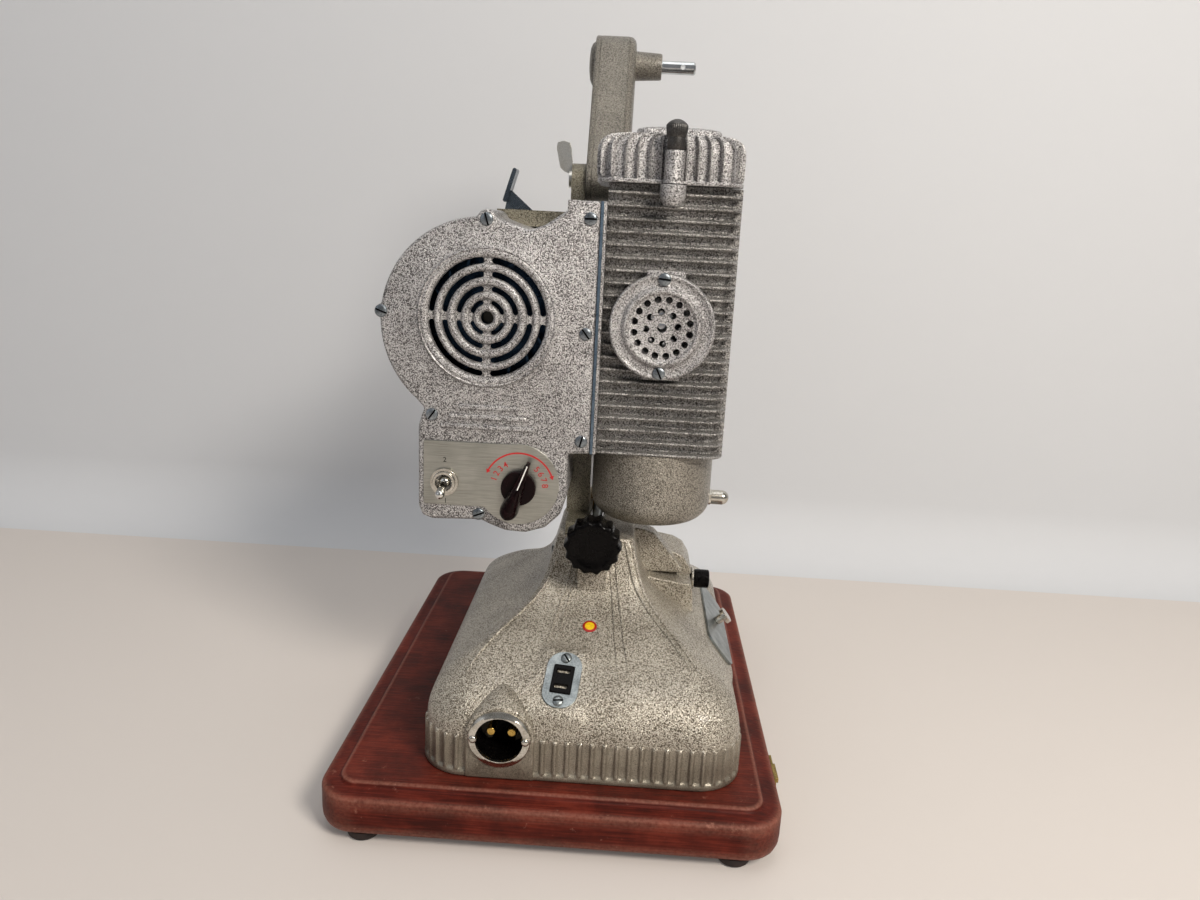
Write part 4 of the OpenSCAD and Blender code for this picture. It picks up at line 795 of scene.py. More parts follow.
# Darker copy of the enamel: painted shade for the case behind the cover
shaded_case_enamel = hammertone("hammered_enamel_case_painted_shade", "#4b463a", "#6f6a5a", "#989281", metallic=0.4)
cool_enamel = hammertone("hammered_enamel_head", "#4b4847", "#8d8a89", "#dddbda")
fit_eased("mechanism_case", shaded_case_enamel, 0.8, "head", "enamel")
blued = metal("blued_steel", "#8fa3b5", "#47586a", 0.32, scratch_mm=0.5)
MOTOR_AT, SHAFT_REACH, PLATE_SEAM = (-47.5, 251.0), 4.2, 9.9
for name, finish, other_side, slot in (
        ("mechanism_plate_steel", blued, (PLATE_SEAM + 0.05, 20), "blued_steel"),
        ("mechanism_plate_flange", cool_enamel, (0, PLATE_SEAM - 0.05), "enamel")):
    layer = eased("mechanism_plate", finish, 0.3, name)
    fit(cut(layer, brick("beyond", other_side, (-80, 80), (160, 330), finish), 30), "head", slot, "mechanism_plate")
grey_cast = metal("grey_cast_metal", "#8b8984", "#54524e", 0.42, scratch_mm=1.2, relief=0.08)
dress(grey_cast, "motor_field", "gate_plate")


def windings():
    """Enamelled copper wire wound side by side: turns 1 mm apart show as fine ribs. Near the
    motor's axis it is bare dark steel."""
    made, tree, shader, place = material("copper_windings", Metallic=0.85, Roughness=0.35)
    turns = add(tree, "TexWave", {"Vector": place, "Scale": 1 / (3.2 * MM), "Distortion": 1.0}, "Fac")
    copper = ramp(tree, turns, (0.1, "#5a2c12"), (0.8, "#b4683a"))
    flat = add(tree, "CombineXYZ", {axis: add(tree, "SeparateXYZ", {0: place}, axis) for axis in "XZ"})
    off_axis = add(tree, "VectorMath", {0: flat, 1: (MOTOR_AT[0] * MM, 0, MOTOR_AT[1] * MM)}, "Value",
                   operation="DISTANCE")
    wound = add(tree, "Math", {0: off_axis, 1: SHAFT_REACH * MM}, operation="GREATER_THAN")
    feed(tree, shader, "Base Color", add(tree, "Mix", {0: wound, 6: "#35332f", 7: copper}, 2, data_type="RGBA"))
    dent(tree, shader, turns, 0.5, 0.12)
    return made


dress(windings(), "armature")
# The fan's blue-black is painted shade and a painted bluish reflection, for the dark seen through the grille's slots
shaded_fan_steel = metal("blued_steel_painted_shade", "#33485e", "#151d27", 0.25, scratch_mm=0.8)
dress(shaded_fan_steel, "fan")
dress(zinc, "motor_pulley", "main_shaft", "sprocket_chain", "pivot_bolts")
dress(rubber_finish, "drive_belt")
dark_enamel = hammertone("black_crackle_enamel", "#15151a", "#26262b", "#3c3c42", spot_mm=0.7, relief=0.15,
                         metallic=0.1)
dress(dark_enamel, "shutter", "lens_barrel")
lever_steel = metal("lever_steel_blued", "#7f8a94", "#39434d", 0.24)
fit_eased("clutch_lever", lever_steel, 0.35, "clutch", "zinc_steel")

# Motor cover
# A die-cast pan in hammered enamel, cooler in tone than the base. Rings of half-round bars, tied
# by four low spokes, leave slots with round ends for the blower's air.

COVER_BACK, COVER_FACE, COVER_EDGE, COVER_WALL = -22.3, -64.0, 1.9, 2.5
GRILLE_AT = MOTOR_AT
ROUND_AT, ROUND_RADIUS = (-49, 247.5), 54  # the round part of the cover's rim; the marks go on from it
COVER_MARKS = [
    (-84.7, 207.2), (-80.0, 202.0), (-81.6, 197.5), (-83.1, 192.8), (-83.1, 148.4), (-80.9, 142.8), (-75.4, 140.9),
    (-49.2, 142.0), (-43.7, 139.5), (-35.5, 136.6), (-24.5, 136.1), (-13.8, 139.7), (-5.9, 147.6), (-2.6, 159.0),
    (-2.9, 181.2), (8.2, 182.0), (8.3, 311.5), (-4.2, 311.3), (-8.6, 306.0), (-19.2, 298.7), (-26.6, 295.9),
    (-36.0, 298.6), (-44.3, 301.4)]
RIM_EARS = [((-102.2, 251.9), 3.6), ((-48.4, 299.8), 5.3)]  # centre and radius of the rim's two screw ears
GRILLE_BARS = [(23.6, 27.5), (16.3, 20.7), (9.3, 13.5), (3.3, 7.0)]
GRILLE_SLOTS = [(27.5, 30.6), (20.7, 23.6), (13.5, 16.3), (7.0, 9.3)]
SPOKE_HALF = 1.9


def closed(points, step, blur):
    """A closed outline, its corners rounded over a distance, in equal steps."""
    points = np.asarray(points, float)
    wrapped = np.concatenate([points[-1:], points, points[:2]])
    run = np.concatenate([[0], np.cumsum(np.linalg.norm(np.diff(wrapped, axis=0), axis=1))])
    first, last = run[1], run[-2]
    fine = np.linspace(first, last, int((last - first) / 0.2) + 1)[:-1]
    line = np.stack([np.interp(fine, run, c) for c in wrapped.T], -1)
    kernel = np.hanning(2 * int(blur / 0.2) + 3)[1:-1]
    pad = len(kernel) // 2
    held = np.concatenate([line[-pad:], line, line[:pad]])
    line = np.stack([np.convolve(c, kernel / kernel.sum(), "valid") for c in held.T], -1)
    return line[np.linspace(0, len(line), int(len(line) * 0.2 / step) + 1).round().astype(int)[:-1]]


def drawn_in(outline, distance):
    """The outline moved inwards along its normals, which lie across its neighbours' line; over
    0.6 mm it goes in steps, and each point is eased towards its neighbours between them."""
    area = np.sum(outline[:, 0] * np.roll(outline[:, 1], -1) - np.roll(outline[:, 0], -1) * outline[:, 1])
    steps = max(1, math.ceil(distance / 0.3)) if distance > 0.6 else 1
    for _ in range(steps):
        ahead = np.roll(outline, -1, 0) - np.roll(outline, 1, 0)
        normal = np.stack([-ahead[:, 1], ahead[:, 0]], -1) / np.linalg.norm(ahead, axis=1)[:, None]
        outline = outline + normal * distance / steps * np.sign(area)
        if steps > 1:
            outline = 0.5 * outline + 0.25 * (np.roll(outline, 1, 0) + np.roll(outline, -1, 0))
    return outline


def raised(name, outline, back, front, edge, finish):
    """A plate with a rounded rim: the outline is drawn out from back to front, and its last
    rows follow a quarter circle of the edge's radius."""
    way = 1 if front > back else -1
    turn_by = np.linspace(0, math.pi / 2, 5)
    rows = [(0, back)] + [(edge * (1 - math.cos(a)), front - way * edge * (1 - math.sin(a))) for a in turn_by]
    return skin(name, [np.insert(drawn_in(outline, inset), 1, depth, axis=1) for inset, depth in rows], finish)


def ray_length(theta, centre, radius):
    """How far a ray from the grille's centre runs to the far side of a disc, zero if it misses."""
    away = np.array(centre) - GRILLE_AT
    distance, angle = np.hypot(*away), math.atan2(away[1], away[0])
    inside = radius ** 2 - (distance * np.sin(theta - angle)) ** 2
    return np.where((inside > 0) & (np.cos(theta - angle) > 0),
                    distance * np.cos(theta - angle) + np.sqrt(np.maximum(inside, 0)), 0)


arc_angle = np.radians(np.arange(93, 227, 2.0))
rim_points = np.concatenate([np.array(ROUND_AT) + ROUND_RADIUS * unit(arc_angle), COVER_MARKS])
dense = closed(rim_points, 0.2, 0.2) - GRILLE_AT
dense_angle = np.unwrap(np.arctan2(dense[:, 1], dense[:, 0]))
theta = circle(4000)
order = np.argsort(np.mod(dense_angle, 2 * math.pi))
reach = np.interp(theta, np.mod(dense_angle, 2 * math.pi)[order], np.hypot(*dense.T)[order], period=2 * math.pi)
for centre, radius in RIM_EARS:
    reach = np.maximum(reach, ray_length(theta, centre, radius))
cover_rim = closed(np.stack([reach * np.cos(theta), reach * np.sin(theta)], -1) + GRILLE_AT, 1.1, 1.7)
bearing = np.arctan2(*(cover_rim - GRILLE_AT).T[::-1])


def ringed(radius, depth):
    """A row of the cover's skin on a circle about the grille's centre."""
    return loops([about(GRILLE_AT, radius, bearing, depth)])[0]


def edged(inset, depth):
    """A row of the cover's skin along its rim, moved in by the inset."""
    return np.insert(drawn_in(cover_rim, inset), 1, depth, axis=1)


cover_rows = [edged(0, COVER_BACK), edged(0, -40), edged(0, COVER_FACE + COVER_EDGE)]
for a in np.radians([22.5, 45, 67.5, 90]):
    cover_rows.append(edged(COVER_EDGE * (1 - math.cos(a)), COVER_FACE + COVER_EDGE * (1 - math.sin(a))))
cover_rows += [ringed(r, COVER_FACE - d) for r, d in (
    (36.6, 0), (36.2, 0.15), (35.8, 0.8), (35.2, 1.18), (34.5, 0.75), (33.8, 1.15), (32.9, 1.05), (31.9, 0.8),
    (31.1, 0.3), (30.7, -0.3), (30.6, -1), (30.6, -COVER_WALL))]
cover_rows += [edged(COVER_WALL, COVER_FACE + COVER_WALL), edged(COVER_WALL, COVER_BACK)]
cover = skin("motor_cover_pan", cover_rows, cool_enamel, ("ring", "ring"), sharp=50)
grille_rows = [(30.8, COVER_FACE + COVER_WALL), (30.8, COVER_FACE + 1.2)]
for inner, outer in GRILLE_BARS:
    middle, half_width = (inner + outer) / 2, (outer - inner) / 2
    grille_rows += [(middle + half_width * c, COVER_FACE - d) for c, d in (
        (1.0, -1.2), (0.97, -0.5), (0.8, 0.35), (0.45, 0.95), (0, 1.15), (-0.45, 0.95), (-0.8, 0.35), (-0.97, -0.5),
        (-1.0, -1.2))]
grille_rows[-1:] = [(3.3, COVER_FACE + 1.2), (3.3, COVER_FACE + COVER_WALL)]
grille = lathe("grille_bars", grille_rows, GRILLE_AT, "y", cool_enamel, 192, ("ring", "ring"))


def slot_outline(radius, half_width, start, end):
    """Outline of a curved slot: both its sides are arcs, both its ends half circles."""
    way = np.linspace(start, end, 24)
    bow = np.linspace(0, math.pi, 9)[1:-1]
    outer, inner = (radius + half_width) * unit(way), (radius - half_width) * unit(way)[::-1]
    ends = []
    for angle, side in ((end, 0), (start, math.pi)):
        middle = radius * np.array([math.cos(angle), math.sin(angle)])
        ends.append(middle + half_width * unit(angle + side + bow))
    return np.concatenate([outer, ends[0], inner, ends[1]]) + GRILLE_AT


slots = []
for inner, outer in GRILLE_SLOTS:
    middle, half_width = (inner + outer) / 2, (outer - inner) / 2 + 0.02
    gap_angle = math.asin((SPOKE_HALF + half_width) / middle)
    for quarter in range(4):
        outline = slot_outline(middle, half_width, quarter * math.pi / 2 + gap_angle,
                               (quarter + 1) * math.pi / 2 - gap_angle)
        slots.append(skin("slot", [np.insert(outline, 1, depth, axis=1) for depth in (-70.0, -58.0)], cool_enamel))
cut(grille, join("slots", slots), 50)
fit(cover, "head", "enamel", "motor_cover")
fit(grille, "head", "enamel", "motor_cover")


def stadium(x0, x1, z, half_height):
    """Outline of a bar with round ends."""
    bow = np.linspace(-math.pi / 2, math.pi / 2, 13)
    right_end = np.stack([x1 - half_height + half_height * np.cos(bow), z + half_height * np.sin(bow)], -1)
    left_end = np.stack([x0 + half_height - half_height * np.cos(bow), z - half_height * np.sin(bow)], -1)
    return np.concatenate([right_end, left_end])


BARS = [(-61.5, -29.5, 204.2), (-66.5, -25.5, 198.9), (-71.0, -21.0, 193.6)]
tab_outline = closed(corners((-8.1, 0), (300, 311.5)), 0.8, 0.7)
tab = raised("cover_tab", tab_outline, COVER_BACK - 0.1, COVER_FACE + 0.05, 0.55, cool_enamel)
fit(tab, "head", "enamel")
bars = [raised("bar", closed(stadium(x0, x1, z, 1.25), 0.6, 0.3), COVER_FACE + 1, COVER_FACE - 1.15, 0.7, cool_enamel)
        for x0, x1, z in BARS]
fit(join("cover_bars", bars), "head", "enamel")
screw_steel = metal("screw_steel_blued", "#a6adb2", "#565d63", 0.3, scratch_mm=0.5)
SCREWS_AT = [(-102.2, 251.9), (-48.4, 300.2), (-75.7, 199.0), (3.6, 302.7), (3.6, 245.4), (3.6, 188.7),
             (-50.0, 145.4)]
made_screws = [slotted("cover_screw", (x, COVER_FACE, z), 3.3, 30, 20 + 53 * i, screw_steel)
               for i, (x, z) in enumerate(SCREWS_AT)]
made_screws += [slotted("reflector_screw", (42.2, -63.0, 251 + side * 24), 3.3, 9, 35 - 30 * side, screw_steel)
                for side in (-1, 1)]
fit(join("cover_screws_slotted", [s[0] for s in made_screws]), "head", "blued_steel", "cover_screws")
# The slots' near-black inserts: painted shade
fit(join("cover_screw_slots", [s[1] for s in made_screws]), "head", "blued_steel")

# Control plate
# Brushed aluminium, printed in red and black. The words are left out: plain numbers stand where
# they were. A toggle switch for the motor's direction, and a pointer knob for its speed.


def brushed():
    """Aluminium brushed from left to right: hairlines 0.25 mm apart, drawn out fifty times as
    long, catch the light in faint streaks."""
    made, tree, shader, place = material("brushed_aluminium", Metallic=0.92, Roughness=0.38)
    hairs = noise(tree, add(tree, "Mapping", {"Vector": place, "Scale": (0.02, 1, 1)}), 0.25, 3)
    both = add(tree, "Mix", {0: 0.35, 2: hairs, 3: noise(tree, place, 14, 3)}, data_type="FLOAT")
    feed(tree, shader, "Base Color", ramp(tree, both, (0.35, "#9a9991"), (0.62, "#bcbbb3")))
    dent(tree, shader, hairs, 0.25, 0.02)
    return made


def ink(name, colour, worn):
    """Silk-screened ink: matt, thinner in specks about 0.3 mm wide."""
    return speckled(name, 0.55, 0.3, 3, (0.3, worn), (0.5, colour))


PLATE_FACE, PRINT_FACE = -64.8, -64.84
SPEED_AT, TOGGLE_AT = (-28.5, 162.0), (-68.5, 162.8)
red_ink, black_ink = ink("red_screen_ink", "#c4161c", "#b0443f"), ink("black_screen_ink", "#161616", "#4a4845")
fit_eased("control_plate", brushed(), 0.25, "head", "satin_plate")
ARC_RADIUS, ARC_ENDS, ARC_HALF = 18.7, (22.0, 152.0), 0.44


def around_speed(radius, degrees):
    """Points on the plate about the speed knob's centre."""
    return np.array(SPEED_AT) + radius * unit(np.radians(degrees))


sweep_angles = np.linspace(*ARC_ENDS, 60)
prints = [np.concatenate([around_speed(ARC_RADIUS + ARC_HALF, sweep_angles),
                          around_speed(ARC_RADIUS - ARC_HALF, sweep_angles[::-1])])]
for end, tip in ((ARC_ENDS[0], 15.5), (ARC_ENDS[1], 158.5)):
    prints.append(np.array([around_speed(ARC_RADIUS, tip), around_speed(ARC_RADIUS + 1.35, end),
                            around_speed(ARC_RADIUS - 1.35, end)]))
arrow = [skin("arrow", [np.insert(p, 1, d, axis=1) for d in (PRINT_FACE, PLATE_FACE + 0.1)], red_ink) for p in prints]
fit(join("arrow_print", arrow), "head", "satin_plate")


def number(text, height, at, lean, finish):
    """A number that stands on the plate at a point, leaning by an angle in degrees."""
    curve = bpy.data.curves.new("number", "FONT")
    curve.body, curve.size, curve.extrude = text, height * MM * 1.4, 0.02 * MM
    curve.align_x, curve.align_y = "CENTER", "CENTER"
    curve.offset = 0.012 * MM * height
    source = bpy.data.objects.new("number", curve)
    bpy.context.scene.collection.objects.link(source)
    mesh = bpy.data.meshes.new_from_object(source.evaluated_get(bpy.context.evaluated_depsgraph_get()))
    bpy.data.objects.remove(source)
    bpy.data.curves.remove(curve)
    stand = Matrix.Rotation(math.pi / 2, 4, "X") @ Matrix.Rotation(math.radians(lean), 4, "Z")
    mesh.transform(Matrix.Translation(Vector((at[0], PRINT_FACE, at[1])) * MM) @ stand)
    mesh.materials.clear()
    mesh.materials.append(finish)
    obj = bpy.data.objects.new("number_" + text, mesh)
    bpy.context.scene.collection.objects.link(obj)
    return obj


digits = [number(str(k + 1), 3.3, around_speed(13.9, a), a - 90, red_ink)
          for k, a in enumerate((164, 150, 136, 122, 48, 34, 20, 6))]
fit(join("speed_numbers", digits), "head", "satin_plate")
switch_digits = [number("2", 2.7, (TOGGLE_AT[0], TOGGLE_AT[1] + 12), 0, black_ink),
                 number("1", 2.7, (TOGGLE_AT[0] + 0.5, TOGGLE_AT[1] - 10.8), 0, black_ink)]
fit(join("switch_numbers", switch_digits), "head", "satin_plate")
fit_eased("toggle_body", bright_nickel, 0.45, "head", "bright_steel")
chrome = metal("chrome_plate", "#e9e8e4", "#c2c1bb", 0.08, stain_mm=4, relief=0.005)
dress(chrome, "toggle_lever")

KNOB_TURN = math.radians(70)
burgundy_phenolic = phenolic("moulded_burgundy_phenolic", "#0f0607", "#1d0b0d", 0.16)
knob_skirt = lathe("knob_skirt", [(3.2, -52), (3.2, -65.3), (8.9, -65.3), (9.35, -65.7), (9.4, -66.6), (9.3, -68.2),
                                  (8.9, -68.7), (4, -68.8)], SPEED_AT, "y", burgundy_phenolic, 96)
TIP, TAIL, TAIL_HALF, TIP_HALF = 16.2, -17.2, 5.0, 0.9
side_run = np.linspace(0, 1, 25)
run_u = TIP - (TIP - TAIL - TAIL_HALF) * side_run
run_v = TIP_HALF + (TAIL_HALF - TIP_HALF) * side_run ** 0.92
tail_bow = np.linspace(0, math.pi, 17)[1:-1]
knob_u = np.concatenate([run_u, TAIL + TAIL_HALF - TAIL_HALF * 0.85 * np.sin(tail_bow), run_u[::-1]])
knob_v = np.concatenate([run_v, TAIL_HALF * np.cos(tail_bow), -run_v[::-1]])
KNOB_FOOT, KNOB_TALL = -68.4, 11.4
KNOB_SHAPE = [  # share of the height, how far the sides are pulled in there
    (0, 0), (0.35, 0.03), (0.62, 0.12), (0.8, 0.27), (0.9, 0.44), (0.96, 0.62), (0.99, 0.78), (1.0, 0.93)]
knob_height = lambda u: KNOB_TALL * (0.36 + 0.64 * ease(np.clip((TIP - u) / (TIP + 1.0), 0, 1)))


def on_pointer(u, v, depth):
    """A row of points (x, y, z): u along the pointer from its axis, v across it."""
    return (SPEED_AT[0] + u * math.cos(KNOB_TURN) + v * math.sin(KNOB_TURN), depth,
            SPEED_AT[1] + u * math.sin(KNOB_TURN) - v * math.cos(KNOB_TURN))


pointer_rows = [on_pointer(knob_u * (1 - 0.16 * pull * (np.abs(knob_u) / TIP) ** 2), knob_v * (1 - pull),
                           KNOB_FOOT - knob_height(knob_u) * level) for level, pull in KNOB_SHAPE]
pointer = skin("pointer", loops(pointer_rows), burgundy_phenolic, sharp=48)
fit(join("pointer_knob", [knob_skirt, pointer]), "speed_control", "brown_plastic", "speed_knob")
line_u = np.linspace(2.5, 14.6, 14)
line_path = loops([on_pointer(line_u, 0, KNOB_FOOT - knob_height(line_u * 1.06) + 0.15)])[0]
white_line = cord_line("pointer_line", line_path, 0.36, ink("white_line_paint", "#f0eee8", "#c9c5bb"))
fit(white_line, "speed_control", "brown_plastic")
# Fired ceramic, chalky cream with fine dark pits
dress(speckled("fired_ceramic", 0.7, 0.9, 4, (0.3, "#9a8c74"), (0.5, "#cfc4ad")), "rheostat", "lamp_socket")

# Lamphouse
# A square die-cast chimney with 22 cooling fins in the hammered enamel; on the fins it is painted darker
# than on the pads and the cover, as painted shade among the fins. A round pad on the rear carries the
# reflector's cover, and a boss under the cap takes its thumb screw. On the film side the fins run into an upright
# rib.

FIN_COUNT, FIN_LOW, FIN_HIGH, FIN_DEPTH, FIN_CORNER, LAMP_WALL = 22, 182.0, 316.5, 5.0, 10, 3.0
LAMP_X, LAMP_Y = (11.4, 79.7), (-58.0, 6.0)
LAMP_CENTRE = ((LAMP_X[0] + LAMP_X[1]) / 2, (LAMP_Y[0] + LAMP_Y[1]) / 2)
LAMP_HALF = ((LAMP_X[1] - LAMP_X[0]) / 2, (LAMP_Y[1] - LAMP_Y[0]) / 2)
LAMP_BOTTOM, LAMP_TOP = 181.0, 320.8
# Darker copy of the head's enamel: painted shade for the fins and their valleys
shaded_fin_enamel = hammertone("hammered_enamel_fins_painted_shade", "#35322f", "#6f6c69", "#c3c0bc")
AXIS_AT = (43.0, 251.0)
fin_profile = [(FIN_DEPTH, LAMP_BOTTOM)]
for middle in np.linspace(FIN_LOW, FIN_HIGH, FIN_COUNT):
    fin_profile += [(FIN_DEPTH + i, middle + z) for i, z in (
        (0, -1.6), (-0.5, -1.12), (-1.2, -1.0), (-4.2, -0.85), (-4.75, -0.55), (-5.0, 0), (-4.75, 0.55), (-4.2, 0.85),
        (-1.2, 1.0), (-0.5, 1.12), (0, 1.6))]
fin_profile += [(FIN_DEPTH, LAMP_TOP), (FIN_DEPTH + LAMP_WALL, LAMP_TOP), (FIN_DEPTH + LAMP_WALL, LAMP_BOTTOM)]
fin_profile = [(i, min(max(z, LAMP_BOTTOM), LAMP_TOP)) for i, z in fin_profile]
inset_by, fin_z = np.array(fin_profile).T
fin_track = walk(*LAMP_HALF, FIN_CORNER, np.linspace(0, 1, 201)[:-1] * perimeter(LAMP_HALF, FIN_CORNER))
fin_corner = np.interp(inset_by, [0, FIN_DEPTH, FIN_DEPTH + LAMP_WALL], [FIN_CORNER, 6, 4])
fin_grid = rims(LAMP_CENTRE, LAMP_HALF[0] - inset_by, LAMP_HALF[1] - inset_by, fin_corner, fin_z, fin_track)
# The two corners beside the steel plate are square
cosine, sine = np.cos(fin_track[2]), np.sin(fin_track[2])
at_plate = (fin_track[0] < -0.999) & (np.abs(fin_track[1]) > 0.999)
squared = np.where(at_plate, 1 / np.maximum(np.abs(cosine), np.abs(sine)) - 1, 0)
fin_grid[..., 0] += fin_corner[:, None] * squared * cosine
fin_grid[..., 1] += fin_corner[:, None] * squared * sine
chimney = skin("finned_chimney", fin_grid, shaded_fin_enamel, ("ring", "ring"), sharp=60)
ports = [lathe("port", [(r, y0), (r, y1)], AXIS_AT, "y", cool_enamel, 64)
         for r, y0, y1 in ((16, -60, -44), (14, -6, 9))]
cut(chimney, join("ports", ports), 60)
pad = lathe("reflector_pad", [(16, -49), (16, -59.2), (26.2, -59.2), (26.6, -58.8), (26.6, -52), (26.6, -49)],
            AXIS_AT, "y", cool_enamel, 96, ("ring", "ring"))
front_pad = lathe("condenser_pad", [(14, -2), (14, 8), (16.6, 8), (17, 7.6), (17, -2)],
                  AXIS_AT, "y", cool_enamel, 80, ("ring", "ring"))
pad_ears = [raised("pad_ear", closed(corners((33, 53), (z - 2.6, z + 2.6)), 0.8, 1.5), -50, -58.9, 0.6, cool_enamel)
            for z in (276.6, 225.4)]
SCREW_AT = (43.4, -64.4)
boss = lathe("cap_screw_boss", [(3.6, 310.6), (4.3, 310.9), (5.3, 312.6), (6.2, 314.6), (6.4, 315.6), (6.4, 320.3),
                                (6.0, 320.8), (2.1, 320.8)], (*SCREW_AT, 0), "z", cool_enamel, 48)
boss_web = brick("cap_screw_web", (SCREW_AT[0] - 6.3, SCREW_AT[0] + 6.3), (-64.4, -52), (315, 320.7), cool_enamel)
plate_side = brick("chimney_plate_side", (LAMP_X[0] + 0.1, LAMP_X[0] + 7), (LAMP_Y[0] + 5.1, LAMP_Y[1] - 5.1),
                   (LAMP_BOTTOM + 0.1, LAMP_TOP - 0.1), shaded_fin_enamel)
film_rib = brick("fin_end_rib", (LAMP_X[1] - 6, LAMP_X[1] - 0.05), (LAMP_Y[0] + 11, LAMP_Y[0] + 14),
                 (LAMP_BOTTOM + 0.1, LAMP_TOP - 0.1), shaded_fin_enamel)
lamphouse = join("lamphouse_fins", [chimney, plate_side, film_rib, pad, front_pad, *pad_ears, boss, boss_web])
fit(lamphouse, "head", "enamel", "lamphouse")

# Reflector cover
# A round casting screwed over the rear port, with a rolled rim, a ring bead and a ring of vents.

COVER_DISC_AT = (42.4, 250.5)
VENTS = [(0, 1, 0, 2.5), (14.5, 16, 0.2, 1.8), (8.2, 8, 0.1, 1.8)]  # ring's radius, count, first angle, hole's radius
disc_profile = [
    (27.2, -58.6), (27.3, -61.4), (27.0, -62.6), (26.4, -63.1), (25.7, -63.1), (25.1, -62.7), (24.6, -62.4),
    (21.4, -62.3), (20.9, -62.6), (20.2, -63.6), (19.3, -64.4), (18.3, -64.5), (17.5, -64.0), (16.9, -63.2),
    (16.4, -63.0), (9, -62.9), (0.05, -62.9)]
vent_cover = lathe("vented_cover", disc_profile, COVER_DISC_AT, "y", cool_enamel, 128, ("flat", "point"))
drills = [lathe("drill", [(hole, -70), (hole, -57)], np.array(COVER_DISC_AT) + ring * unit(a), "y", cool_enamel, 24)
          for ring, count, first, hole in VENTS for a in circle(count) + first]
cut(vent_cover, join("drills", drills), 40)
fit(vent_cover, "head", "enamel", "reflector_cover")
fit_eased("barrel_nut", bright_nickel, 0.4, "head", "bright_steel")
barrel_enamel = hammertone("hammered_enamel_barrel", "#4f4a42", "#7d776d", "#b2aca0")
dress(barrel_enamel, "socket_barrel")

# Lamp, reflector and condenser
# Hidden inside: a tubular lamp on its brass base, a silvered reflector behind it and two
# condenser lenses in front.


def clear_glass(name, tint, ior):
    """Clear glass with faint smears: haze about 6 mm wide dulls it a little."""
    made, tree, shader, place = material(name, Transmission_Weight=1.0, IOR=ior, Base_Color=tint)
    feed(tree, shader, "Roughness", ranged(tree, noise(tree, place, 6, 4), 0.45, 0.8, 0.02, 0.12))
    return made


dress(clear_glass("lamp_glass", "#f6f8f6", 1.47), "lamp_bulb")
dress(clear_glass("coated_lens_glass", "#e8ecf6", 1.52), "condenser_lenses", "lens_glass")
dress(new_brass, "lamp_base")
dress(metal("silvered_mirror", "#f2f3f4", "#dcdfe2", 0.05, stain_mm=9, relief=0.002), "reflector")

# Lamphouse cap
# A ribbed hood over a thin flange. The ribs run down the sides and curl over the shoulders; the
# roof is a low dome with a step at the rear. A dark thumb screw with a knurled head holds it.

CAP_X, CAP_Y = (4.6, 79.9), (-60.5, 7.5)
CAP_CENTRE = ((CAP_X[0] + CAP_X[1]) / 2, (CAP_Y[0] + CAP_Y[1]) / 2)
CAP_HALF = ((CAP_X[1] - CAP_X[0]) / 2, (CAP_Y[1] - CAP_Y[0]) / 2)
CAP_CORNER, CAP_RIBS, CAP_RIB, RIB_START, ROOF_SHIFT = 12, 41, 3.0, 0.95, 3.0
CAP_ROWS = [  # drawn in across and along, height, share of the ribs' height, how far the skin leans back in degrees
    (0.9, 0.2, 321.2, 0, 0), (0.7, 0, 321.4, 0, 0), (0.7, 0, 323.0, 0, 0), (0.9, 0.2, 323.2, 0, 0),
    (2.9, 3.3, 323.25, 0, 0), (3.0, 3.6, 323.5, 0.5, 0), (3.0, 3.6, 324.2, 0.85, 0), (3.0, 3.6, 326, 0.97, 0),
    (3.0, 3.6, 331, 1, 0), (3.0, 3.6, 336, 1, 0), (3.2, 3.8, 339, 0.97, 8), (4.2, 4.4, 341.5, 0.9, 25),
    (6.5, 5.2, 343.2, 0.75, 50), (9.5, 5.8, 344.2, 0.5, 70), (13, 6.2, 344.8, 0.25, 85), (15.6, 6.5, 345.1, 0, 90),
    (16.0, 6.7, 345.3, 0, 90), (16.3, 6.8, 347.0, 0, 90), (17.0, 7.4, 347.9, 0, 90), (20, 11, 348.8, 0, 90),
    (25, 19, 349.9, 0, 90), (33, 29, 350.7, 0, 90)]
cap_rib_at = np.array([-3.1, -0.85, -0.66, -0.4, 0.0, 0.4, 0.66, 0.85])
cap_along = np.arange(CAP_RIBS)[:, None] * perimeter(CAP_HALF, CAP_CORNER) / CAP_RIBS + cap_rib_at
cap_track = walk(*CAP_HALF, CAP_CORNER, cap_along.ravel() + RIB_START)
cap_wave = np.sqrt(np.clip(1 - (np.tile(cap_rib_at, CAP_RIBS) / 0.7) ** 2, 0, 1))
in_x, in_y, cap_z, cap_share, lean = np.array(CAP_ROWS).T
relief = CAP_RIB * cap_share[:, None] * cap_wave
roof_centre = CAP_CENTRE[0] + ROOF_SHIFT * ease(np.clip((in_x - 6) / 9, 0, 1))[:, None]
cap_grid = rims((roof_centre, CAP_CENTRE[1]), CAP_HALF[0] - in_x, CAP_HALF[1] - in_y,
                np.maximum(CAP_CORNER - 0.3 * in_x, 3), cap_z, cap_track,
                relief * np.cos(np.radians(lean))[:, None])
cap_grid[..., 2] += 0.8 * relief * np.sin(np.radians(lean))[:, None]
hood_cap = skin("cap_hood", cap_grid, cool_enamel, sharp=60)
inner_in = np.array([8.0, 8.0, 8.6, 10.5, 13.5])
inner = skin("cap_hollow", rims(CAP_CENTRE, CAP_HALF[0] - inner_in, CAP_HALF[1] - inner_in, 6,
                                [316.0, 334, 338, 341, 342.5], cap_track), cool_enamel)
cut(hood_cap, inner, 60)
cap_boss = lathe("cap_boss", [(4.9, 321.3), (4.9, 335.9), (4.6, 336.8), (2.4, 337)], (*SCREW_AT, 0), "z",
                 cool_enamel, 48)
